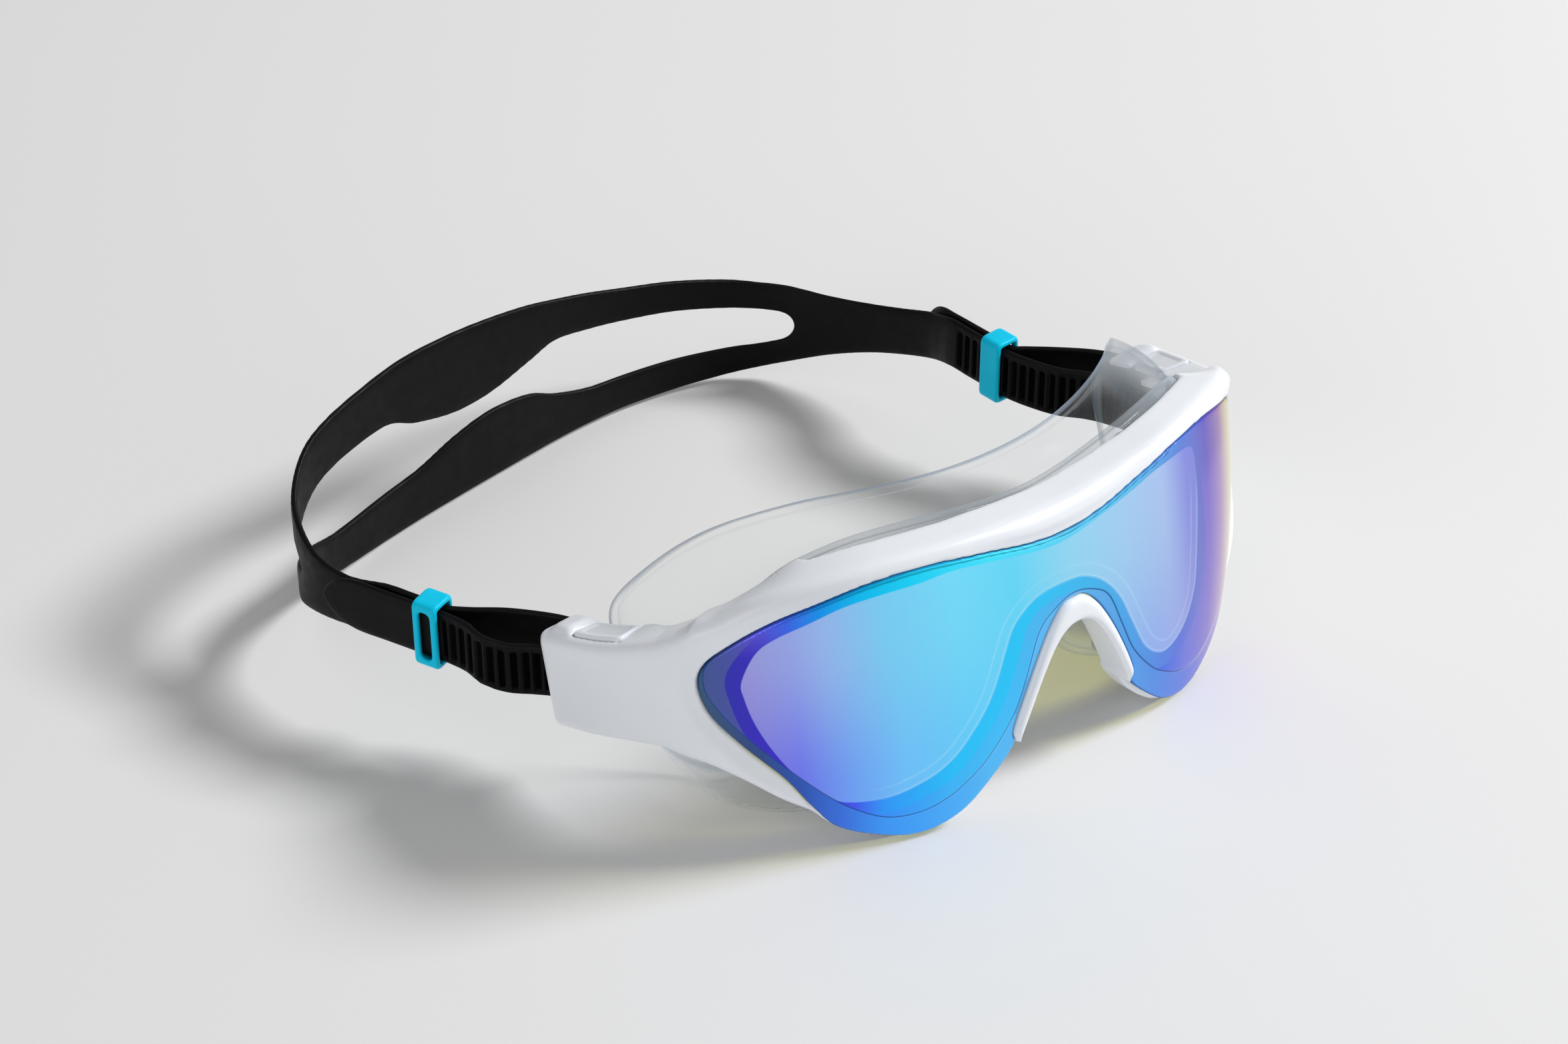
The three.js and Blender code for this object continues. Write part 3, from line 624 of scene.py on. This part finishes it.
def single(x, y, low=STRAP_LOW, high=STRAP_HIGH):
    middle = (low + high) / 2
    return [x, y, low, middle - 1.5, middle + 1.5, high]


def straight(keeper, layer, steps):
    side, (x, y), (hx, hy) = KEEPERS[keeper]
    shift = layer * LAYER_PITCH / 2
    return [single(x - side * shift * hy + t * hx, y + side * shift * hx + t * hy) for t in steps]


def bar_turn(side):
    centre = at(side * CLIP_S, EYE_LEVEL, CLIP_D)
    turn = [(3, 3), (3, 0.5), (2.1, -2.1), (0, -3), (-2.1, -2.1), (-3, 0.5), (-3, 3)]
    return [single(centre[0] + side * out, centre[1] + back, 22.2, 33.5) for out, back in turn]


def strap_rows():
    """The strap from tail tip to tail tip: plan, lower edge, slot's edges, upper edge."""
    return [
        single(-98, 112.6, 20, 31), single(-97.1, 109.8, 20, 31),
        *straight("left", 1, [-17, -11, -5, 0, 3]),
        single(-86.6, 79.4), single(-86, 75.2, 19, 31), single(-83.4, 71, 18.2, 30.2),
        single(-79.6, 67.4, 18, 30), single(-77, 63.6, 18.4, 30.4), single(-75.6, 58.2, 20, 32),
        *bar_turn(-1),
        single(-68.4, 57.5, 21, 33), single(-68.9, 63, 20.2, 32.2),
        single(-71.2, 69.5), single(-77.2, 77.2), single(-83, 82.4),
        *straight("left", -1, [3, 0, -5, -11]),
        single(-94.3, 109.5, 17.4, 29.6),
        [-95.2, 120, 15, 21, 24, 30.6], [-92, 130.5, 10.5, 19.3, 24.7, 34.5],
        [-84.5, 138.5, 5.5, 15.5, 27, 38.5], [-75, 143.3, 2.6, 12.5, 29, 40.8],
        [-59, 148.3, 1, 12.6, 29.3, 42.2], [-49.5, 150.3, 0.8, 13.4, 25.3, 42.6],
        [-38.5, 152, 0.8, 16.4, 22.5, 42.1], [-28, 153.5, 0.8, 17.8, 22.5, 40.9],
        [-17, 155, 0.8, 16.4, 24.8, 39], [-9, 156, 0.8, 12.8, 26.6, 37],
        [0.5, 156.7, 0.8, 10, 25.3, 34.6], [10.5, 156.7, 0.8, 9.2, 23.6, 32],
        [23.3, 155, 1, 8.9, 21.7, 29.5], [35.2, 151.4, 1.8, 8.8, 19.6, 27],
        [42, 146.9, 3.4, 9.6, 18.8, 25.7], [46.6, 142.6, 5, 11.2, 18, 25],
        single(52, 134.6, 8.5, 24), single(56.2, 126.3, 11.5, 24.4),
        single(58.6, 118, 14.2, 26.2), single(59.8, 109.2, 17, 29),
        *straight("right", -1, [-14, -8, 0, 3]),
        single(60.4, 78.6), single(63, 71.8), single(66.6, 65.6, 20.2, 32.2),
        single(68.4, 58.5, 21, 33),
        *bar_turn(1)[::-1],
        single(75.8, 58, 21, 33), single(77, 62.8, 20, 32), single(76.6, 67.4),
        single(73.4, 72.6), single(67.8, 78.4), single(63.4, 82.4),
        *straight("right", 1, [3, 0, -5, -11, -17]),
        single(61.6, 110, 20, 31), single(61.5, 112.6, 20, 31),
    ]


RIB_PITCH, RIB_DEPTH, RIB_REACH = 2.3, 0.6, 12
EDGE_LOW, EDGE_HIGH = 1.2, 1.6
BEAD_PLACE, BEAD_HEIGHT = 0.95, 0.14
TIP_ROUND, SLOT_ROUND = 9, 4
SLOT_START, SLOT_END = (-94.4, 125), (47.4, 141.2)


def make_strap():
    rows = smooth_rows(strap_rows(), 24)
    plan = rows[:, :2]
    length = np.concatenate([[0], np.cumsum(np.hypot(*np.diff(plan, axis=0).T))])
    total = length[-1]
    axes = grid((-2, total + 2, 0.4), (-0.5, 44, 0.55), (-1.5, 1.5, 0.25))
    t, z, n = np.meshgrid(*axes, indexing="ij")
    low, slot_low, slot_high, high = (
        np.interp(axes[0], length, rows[:, k])[:, None, None] for k in (2, 3, 4, 5)
    )
    slope = [np.cos(np.arctan(np.gradient(edge[:, 0, 0], axes[0])))[:, None, None] for edge in (low, high)]
    edge = -smooth_max((low - z) * slope[0], (z - high) * slope[1], 1)
    edge = -smooth_max(-edge, np.maximum(-t, t - total), TIP_ROUND)

    def length_at(place, first, last):
        """Length along the strap where it passes a place, looked for between two shares of its rows."""
        picked = np.arange(int(first * len(plan)), int(last * len(plan)))
        return length[picked[np.argmin(np.hypot(*(plan[picked] - place).T))]]

    slot_start, slot_end = length_at(SLOT_START, 0.25, 0.5), length_at(SLOT_END, 0.5, 0.75)
    slot = smooth_max(z - slot_high, slot_low - z, 1)
    slot = smooth_max(slot, np.maximum(slot_start - t, t - slot_end), SLOT_ROUND)
    edge = np.minimum(edge, slot)

    # The ribs run from each keeper round its bar and back, and a little way beyond.
    left, right = KEEPERS["left"][1], KEEPERS["right"][1]
    wave = np.abs((t / RIB_PITCH) % 1 - 0.5) * 2
    ribs = np.zeros_like(t)
    for first, last in (
        (length_at(left, 0, 0.25), length_at(left, 0.125, 0.5) + RIB_REACH),
        (length_at(right, 0.5, 0.75) - RIB_REACH, length_at(right, 0.875, 1)),
    ):
        there = smooth_step(t, first - 0.2, first + 0.2) * smooth_step(-t, -last - 0.2, -last + 0.2)
        ribs = np.maximum(ribs, there * smooth_step(wave, 0.3, 0.55))
    border = np.where(z > (low + high) / 2, EDGE_HIGH, EDGE_LOW)
    ribs *= smooth_step(edge - border, -0.2, 0.3)
    bead = BEAD_HEIGHT * smooth_step(-np.abs(edge - BEAD_PLACE), -0.4, 0)
    thickness = STRAP_THICKNESS / 2 - bead - np.where(n < 0, RIB_DEPTH * ribs, 0)
    field = smooth_max(np.abs(n) - thickness, -edge, 0.9)
    headings = np.gradient(plan, axis=0)
    headings /= np.linalg.norm(headings, axis=1, keepdims=True)

    def on_strap(points):
        where = np.clip(points[:, 0], 0, total)
        extra = points[:, 0] - where
        x, y, hx, hy = (np.interp(where, length, values) for values in (*plan.T, *headings.T))
        beside = points[:, 2]
        return np.stack([x + extra * hx - beside * hy, y + extra * hy + beside * hx, points[:, 1]], -1)

    piece, points = field_piece("strap_band", field, axes, on_strap)
    nearest = [
        np.clip(np.rint((points[:, k] - axis[0]) / (axis[1] - axis[0])).astype(int), 0, len(axis) - 1)
        for k, axis in enumerate(axes)
    ]
    # The grooves' places, kept for the painted shade in them.
    put_attribute(piece, "groove_shade", ribs[tuple(nearest)] * (points[:, 2] < 0))
    return piece


# ---- keepers ----
KEEPER_WALL, KEEPER_LENGTH, KEEPER_ROOM = 1.2, 5.6, 0.7
WINDOW_HALF_LENGTH, WINDOW_HALF_HEIGHT = 1.35, 5.7


def make_keeper(name):
    side, (x, y), (hx, hy) = KEEPERS[name]
    inside = LAYER_PITCH + STRAP_THICKNESS + KEEPER_ROOM
    tall = STRAP_HIGH - STRAP_LOW + KEEPER_ROOM
    axes = grid((-4.4, 4.4, 0.2), (-3.8, 3.8, 0.2), (-9, 9, 0.2))
    u, v, w = np.meshgrid(*axes, indexing="ij")
    across_it, upright = np.abs(u) - inside / 2, np.abs(w) - tall / 2
    block = smooth_max(across_it - KEEPER_WALL, upright - KEEPER_WALL, 1.6)
    block = smooth_max(block, np.abs(v) - KEEPER_LENGTH / 2, 0.8)
    hole = smooth_max(across_it, upright, 0.6)
    window = smooth_max(np.abs(v) - WINDOW_HALF_LENGTH, np.abs(w) - WINDOW_HALF_HEIGHT, 1.4)
    window = smooth_max(window, -u, 0.2)
    field = smooth_max(smooth_max(block, -hole, 0.5), -window, 0.6)
    angle = math.atan2(side * hx, -side * hy)
    turn = np.array([[math.cos(angle), -math.sin(angle)], [math.sin(angle), math.cos(angle)]])

    def in_place(points):
        moved = points.copy()
        moved[:, :2] = points[:, :2] @ turn.T + [x, y]
        moved[:, 2] += (STRAP_LOW + STRAP_HIGH) / 2
        return moved

    return field_piece("keeper_loop_" + name, field, axes, in_place)[0]


# ---- camera ----
CAMERA_TARGET = Vector((-18.354, -23.177, 41.755)) * MM
CAMERA_AZIMUTH, CAMERA_ELEVATION = math.radians(-39.597), math.radians(35.574)
CAMERA_DISTANCE, CAMERA_LENS = 678.855 * MM, 79.905


def direction(azimuth, elevation):
    level = math.cos(elevation)
    return Vector((math.sin(azimuth) * level, -math.cos(azimuth) * level, math.sin(elevation)))


def add_camera():
    camera = bpy.data.objects.new("camera", bpy.data.cameras.new("camera"))
    camera.data.lens = CAMERA_LENS
    camera.data.sensor_width = 36
    camera.data.sensor_fit = "HORIZONTAL"
    back = direction(CAMERA_AZIMUTH, CAMERA_ELEVATION)
    camera.location = CAMERA_TARGET + CAMERA_DISTANCE * back
    camera.rotation_mode = "QUATERNION"
    camera.rotation_quaternion = (-back).to_track_quat("-Z", "Y")
    bpy.context.scene.collection.objects.link(camera)
    bpy.context.scene.camera = camera


# ---- materials ----
ARC_REACH = 80

# Colours along the wall, from the left temple to the right one, as (s, display colour).
# The two rows for the middle are painted light, paler than the coating's own colour in the rings round them.
LIT_MIDDLE_HIGH = [
    (-70, (152, 150, 212)), (-60, (148, 163, 228)), (-54, (148, 180, 234)), (-42, (120, 204, 243)),
    (-28, (114, 214, 246)), (-14, (100, 212, 245)), (0, (146, 214, 243)), (14, (164, 208, 246)),
    (26, (173, 198, 244)), (34, (136, 144, 231)), (40, (130, 132, 221)),
]
LIT_MIDDLE_LOW = [
    (-70, (125, 118, 212)), (-60, (108, 115, 230)), (-50, (112, 160, 240)), (-40, (112, 191, 246)),
    (-26, (98, 203, 247)), (0, (124, 202, 246)), (18, (150, 185, 246)), (30, (160, 178, 240)),
    (40, (140, 130, 220)),
]
BROW_BAND = [
    (-78, (74, 84, 165)), (-66, (88, 80, 205)), (-60, (60, 100, 226)), (-54, (23, 142, 233)),
    (-46, (4, 184, 239)), (-36, (24, 205, 243)), (-18, (67, 220, 247)), (4, (100, 205, 246)),
    (18, (97, 190, 241)), (32, (96, 135, 222)), (38, (104, 118, 212)), (43, (96, 84, 200)),
    (48, (126, 90, 186)), (52, (152, 104, 172)), (56, (198, 172, 150)), (60, (212, 198, 140)),
]
INNER_RING = [
    (-78, (48, 54, 151)), (-66, (60, 48, 185)), (-58, (64, 50, 208)), (-50, (70, 84, 232)),
    (-44, (50, 152, 243)), (-30, (40, 190, 246)), (-12, (44, 196, 246)), (10, (76, 176, 240)),
    (30, (92, 118, 226)), (38, (104, 118, 212)), (43, (96, 84, 200)), (48, (126, 90, 186)),
    (52, (152, 104, 172)), (56, (198, 172, 150)), (60, (212, 198, 140)),
]
OUTER_RING = [
    (-78, (68, 86, 138)), (-68, (76, 80, 166)), (-58, (74, 74, 210)), (-50, (80, 104, 232)),
    (-43, (60, 146, 242)), (-30, (62, 180, 244)), (-18, (66, 188, 245)), (0, (84, 176, 238)),
    (14, (84, 152, 234)), (24, (70, 116, 234)), (34, (112, 122, 226)), (43, (122, 100, 210)),
    (50, (160, 120, 195)), (56, (210, 180, 170)), (60, (225, 205, 150)),
]
FLANGE = [
    (-78, (59, 85, 117)), (-68, (52, 74, 128)), (-60, (50, 84, 170)), (-52, (62, 112, 215)),
    (-44, (64, 152, 240)), (-20, (84, 184, 245)), (0, (96, 184, 240)), (20, (88, 156, 236)),
    (36, (100, 122, 226)), (50, (140, 110, 210)), (60, (195, 145, 170)),
]
# The mirror shows a floor and a sky that are darker than white, the more so on the left.
COATING_GAIN = [(-60, 1.12), (-20, 1.04), (20, 0.92), (60, 0.86)]


def stops(rows):
    return [
        ((s + ARC_REACH) / (2 * ARC_REACH), tuple(min(1, along(COATING_GAIN, s) * v) for v in srgb(*colour)))
        for s, colour in rows
    ]


def mirror_material():
    n = Nodes("mirror_lens")
    arc, height = n.attribute("arc"), n.attribute("height")
    lit_middle, edge, step = (n.attribute(name) for name in ("lit_middle", "edge", "step"))
    place = n.mapped(arc, -ARC_REACH, ARC_REACH)
    up = n.mapped(height, 15, 50, smooth=True)
    high = n.mapped(height, 44, 52, smooth=True)
    # Painted light: the middle is painted paler than the ring round it.
    middle = n.blend(up, n.ramp(place, stops(LIT_MIDDLE_LOW)), n.ramp(place, stops(LIT_MIDDLE_HIGH)))

    # The ring outside the pale middle has a deeper inner part.
    outside = n.maths("MULTIPLY", lit_middle, -1.0)
    width = n.maths("MINIMUM", n.mapped(arc, -60, -46, 3.0, 3.9), n.mapped(height, 36, 48, 4.0, 2.0))
    deep = n.mapped(n.maths("SUBTRACT", outside, width), -0.15, 0.15, smooth=True)
    ring = n.blend(deep, n.ramp(place, stops(INNER_RING)), n.ramp(place, stops(OUTER_RING)))
    ring = n.blend(high, ring, n.ramp(place, stops(BROW_BAND)))
    colour = n.blend(n.mapped(lit_middle, -0.12, 0.12, smooth=True), ring, middle)

    # A painted highlight follows the border by the nose, a soft light line with a fainter second one inside
    # it; a fine dark line of painted shade follows the step.
    painted_highlight_line = n.mapped(n.maths("ABSOLUTE", lit_middle), 0.5, 0.05, 0.0, 0.3, smooth=True)
    highlight_by_nose = n.maths("MULTIPLY", n.mapped(arc, -48, -40), n.mapped(height, 52, 44))
    colour = n.blend(n.maths("MULTIPLY", painted_highlight_line, highlight_by_nose), colour, srgb(200, 236, 252))
    # The second painted highlight line runs 2.4 mm inside the border.
    second = n.mapped(n.maths("ABSOLUTE", n.maths("SUBTRACT", lit_middle, 2.4)), 0.4, 0.05, 0.0, 0.22, smooth=True)
    colour = n.blend(n.maths("MULTIPLY", second, highlight_by_nose), colour, srgb(190, 232, 250))
    below = n.mapped(step, 0.12, -0.12, smooth=True)
    colour = n.blend(below, colour, n.ramp(place, stops(FLANGE)))
    # Painted shade: a fine dark line along the step, on top of the small drop that the lens's shape has
    # there.
    painted_step_shade = n.mapped(n.maths("ABSOLUTE", n.maths("SUBTRACT", step, 0.1)), 0.22, 0.06, 0.0, 0.85)
    colour = n.blend(painted_step_shade, colour, srgb(20, 70, 130))
    # Painted shade: a thin dark line along the lens's edge, where it sits in the frame.
    colour = n.blend(n.mapped(edge, 0.3, 0.12, 0.0, 0.6), colour, srgb(38, 70, 130))
    colour = n.blend(n.mapped(n.attribute("depth"), -1.85, -1.95), colour, srgb(150, 148, 104))
    n.link(colour, n.shader.inputs["Base Color"])
    # The coating also glows faintly in its own colour: painted light that makes the lens brighter than its
    # reflection alone.
    n.link(colour, n.shader.inputs["Emission Color"])
    n.link(n.mapped(edge, 0.2, 0.5, 0.75, 0.07), n.shader.inputs["Roughness"])
    n.set(Metallic=0.85, Coat_Weight=0.1, Coat_Roughness=0.04, Emission_Strength=0.1)
    n.bump(n.noise(160, 2), 0.03, 0.0004)

    # Light that falls through the coating comes out warm.
    through = n.add("ShaderNodeBsdfTransparent", Color=(0.66, 0.65, 0.3, 1))
    join = n.add("ShaderNodeMixShader")
    n.link(n.add("ShaderNodeLightPath").outputs["Is Shadow Ray"], join.inputs[0])
    n.link(n.shader.outputs[0], join.inputs[1])
    n.link(through.outputs[0], join.inputs[2])
    n.link(join.outputs[0], n.tree.nodes["Material Output"].inputs["Surface"])
    return n.material


def white_material():
    n = Nodes("white_shell")
    tone = n.ramp(n.noise(40, 4), [(0.35, srgb(235, 239, 246)), (0.65, srgb(239, 243, 249))])
    n.link(tone, n.shader.inputs["Base Color"])
    n.link(n.mapped(n.noise(220, 4), 0.3, 0.7, 0.3, 0.38), n.shader.inputs["Roughness"])
    n.set(Coat_Weight=0.25, Coat_Roughness=0.12, Subsurface_Weight=0.06, Subsurface_Scale=0.002)
    n.bump(n.noise(1400, 3), 0.05, 0.0002)
    return n.material


def clear_material(name, facing_low, facing_high, tint, solid):
    """Clear plastic: what lies behind shows through, and slanting walls catch more light."""
    n = Nodes(name)
    weight = n.add("ShaderNodeLayerWeight", Blend=0.5)
    body = n.ramp(n.noise(30, 4), [(0.3, tint), (0.7, solid)])
    rim = n.mapped(weight.outputs["Facing"], 0.72, 0.95, smooth=True)
    lip, turned = n.attribute("lip"), n.attribute("turned")
    body = n.blend(n.maths("MAXIMUM", rim, lip), body, srgb(150, 168, 188))
    # Painted refraction: dark blue-grey streaks on the turned-up far end stand in for the black strap seen
    # bent through the silicone.
    strap_refraction_streak = n.mapped(n.noise(45, 1.0, 0.4, 0.6), 0.4, 0.6, smooth=True)
    painted_strap_refraction = n.maths("MULTIPLY", turned, strap_refraction_streak)
    n.link(n.blend(painted_strap_refraction, body, srgb(96, 118, 142)), n.shader.inputs["Base Color"])
    n.link(n.mapped(n.noise(300, 3), 0.3, 0.7, 0.06, 0.16), n.shader.inputs["Roughness"])
    n.set(Specular_IOR_Level=0.6)
    n.bump(n.noise(500, 3), 0.05, 0.0002)
    clear = n.add("ShaderNodeBsdfTransparent", Color=(0.99, 0.993, 0.995, 1))
    share = n.mapped(weight.outputs["Facing"], 0.35, 1.0, facing_low, facing_high, smooth=True)
    share = n.maths("MAXIMUM", share, n.maths("MULTIPLY", lip, 0.45))
    share = n.maths("MAXIMUM", share, n.maths("MULTIPLY", painted_strap_refraction, 0.3))
    join = n.add("ShaderNodeMixShader")
    n.link(share, join.inputs[0])
    n.link(clear.outputs[0], join.inputs[1])
    n.link(n.shader.outputs[0], join.inputs[2])
    n.link(join.outputs[0], n.tree.nodes["Material Output"].inputs["Surface"])
    return n.material


def rubber_material():
    n = Nodes("black_silicone")
    tone = n.ramp(n.noise(60, 5), [(0.3, srgb(10, 10, 12)), (0.7, srgb(16, 16, 19))])
    # Painted shade: the grooves are painted darker and less shiny than the flat faces.
    groove_shade = n.attribute("groove_shade")
    n.link(n.blend(groove_shade, tone, srgb(4, 4, 5)), n.shader.inputs["Base Color"])
    n.link(n.mapped(groove_shade, 0, 1, 0.14, 0.02), n.shader.inputs["Specular IOR Level"])
    n.link(n.mapped(n.noise(350, 4), 0.3, 0.7, 0.42, 0.56), n.shader.inputs["Roughness"])
    n.bump(n.noise(1600, 4), 0.12, 0.0002)
    return n.material


def turquoise_material():
    n = Nodes("turquoise_plastic")
    tone = n.ramp(n.noise(120, 4), [(0.35, srgb(0, 196, 234)), (0.65, srgb(0, 206, 243))])
    n.link(tone, n.shader.inputs["Base Color"])
    n.link(n.mapped(n.noise(500, 4), 0.3, 0.7, 0.28, 0.4), n.shader.inputs["Roughness"])
    n.set(Specular_IOR_Level=0.16, Subsurface_Weight=0.05, Subsurface_Scale=0.002)
    n.bump(n.noise(1500, 3), 0.06, 0.0002)
    return n.material


def floor_material():
    n = Nodes("floor")
    n.link(
        n.ramp(n.noise(1.5, 3), [(0.3, srgb(229, 229, 229)), (0.7, srgb(233, 233, 233))]),
        n.shader.inputs["Base Color"],
    )
    n.set(Roughness=0.75, Specular_IOR_Level=0.2)
    n.bump(n.noise(900, 4), 0.05, 0.0002)
    return n.material


# ---- floor, light ----
FLOOR_HALF = 3.0
SKY_STRENGTH = 0.37
KEY_DIRECTION = direction(math.radians(64), math.radians(39))
FILL_DIRECTION = direction(math.radians(-75), math.radians(15))


def add_floor():
    mesh = bpy.data.meshes.new("floor")
    corners = [(x * FLOOR_HALF, y * FLOOR_HALF, 0) for x, y in ((-1, -1), (1, -1), (1, 1), (-1, 1))]
    mesh.from_pydata(corners, [], [(0, 1, 2, 3)])
    mesh.materials.append(floor_material())
    floor = bpy.data.objects.new("floor", mesh)
    bpy.context.scene.collection.objects.link(floor)


def add_area(name, towards, distance, size, power):
    lamp = bpy.data.lights.new(name, "AREA")
    lamp.shape = "DISK"
    lamp.size = size
    lamp.energy = power
    light = bpy.data.objects.new(name, lamp)
    light.location = towards * distance
    light.rotation_mode = "QUATERNION"
    light.rotation_quaternion = (-towards).to_track_quat("-Z", "Y")
    bpy.context.scene.collection.objects.link(light)


def add_light():
    world = bpy.data.worlds.new("studio")
    world.use_nodes = True
    background = world.node_tree.nodes["Background"]
    background.inputs["Color"].default_value = (1, 1, 1, 1)
    background.inputs["Strength"].default_value = SKY_STRENGTH
    bpy.context.scene.world = world
    add_area("key", KEY_DIRECTION, 2.4, 0.7, 50)
    add_area("fill", FILL_DIRECTION, 2, 1.4, 8)


# ---- the whole ----
def main():
    add_camera()
    bpy.context.scene.view_settings.view_transform = "Standard"
    white, mirror = white_material(), mirror_material()
    rubber, turquoise = rubber_material(), turquoise_material()
    silicone = clear_material("clear_silicone", 0.02, 0.42, srgb(226, 232, 238), srgb(238, 241, 244))
    hard_clear = clear_material("clear_carrier", 0.25, 0.8, srgb(170, 180, 190), srgb(186, 194, 202))

    made = [
        (make_lens(), mirror, "mirror_lens", "mask", "lens"),
        (make_frame(), white, "white_shell", "mask", "frame"),
        (make_carrier(), hard_clear, "clear_carrier", "mask", "seal_carrier"),
        (make_seal(), silicone, "clear_silicone", "mask", "face_seal"),
        (make_strap(), rubber, "black_silicone", "mask", "head_strap"),
    ]
    for name, side in (("left", -1), ("right", 1)):
        made.append((make_button(side), white, "white_shell", "button_" + name, "release_button_" + name))
        made.append(
            (make_keeper(name), turquoise, "turquoise_plastic", "keeper_" + name, "strap_keeper_" + name)
        )
    for piece, material, slot_name, body, node in made:
        paint(piece, material)
        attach(piece, body)
        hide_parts(node)
    for name in ("left", "right"):
        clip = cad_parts["strap_clip_" + name]
        clip.data.materials.clear()
        clip.data.materials.append(white)
    add_floor()
    add_light()


main()
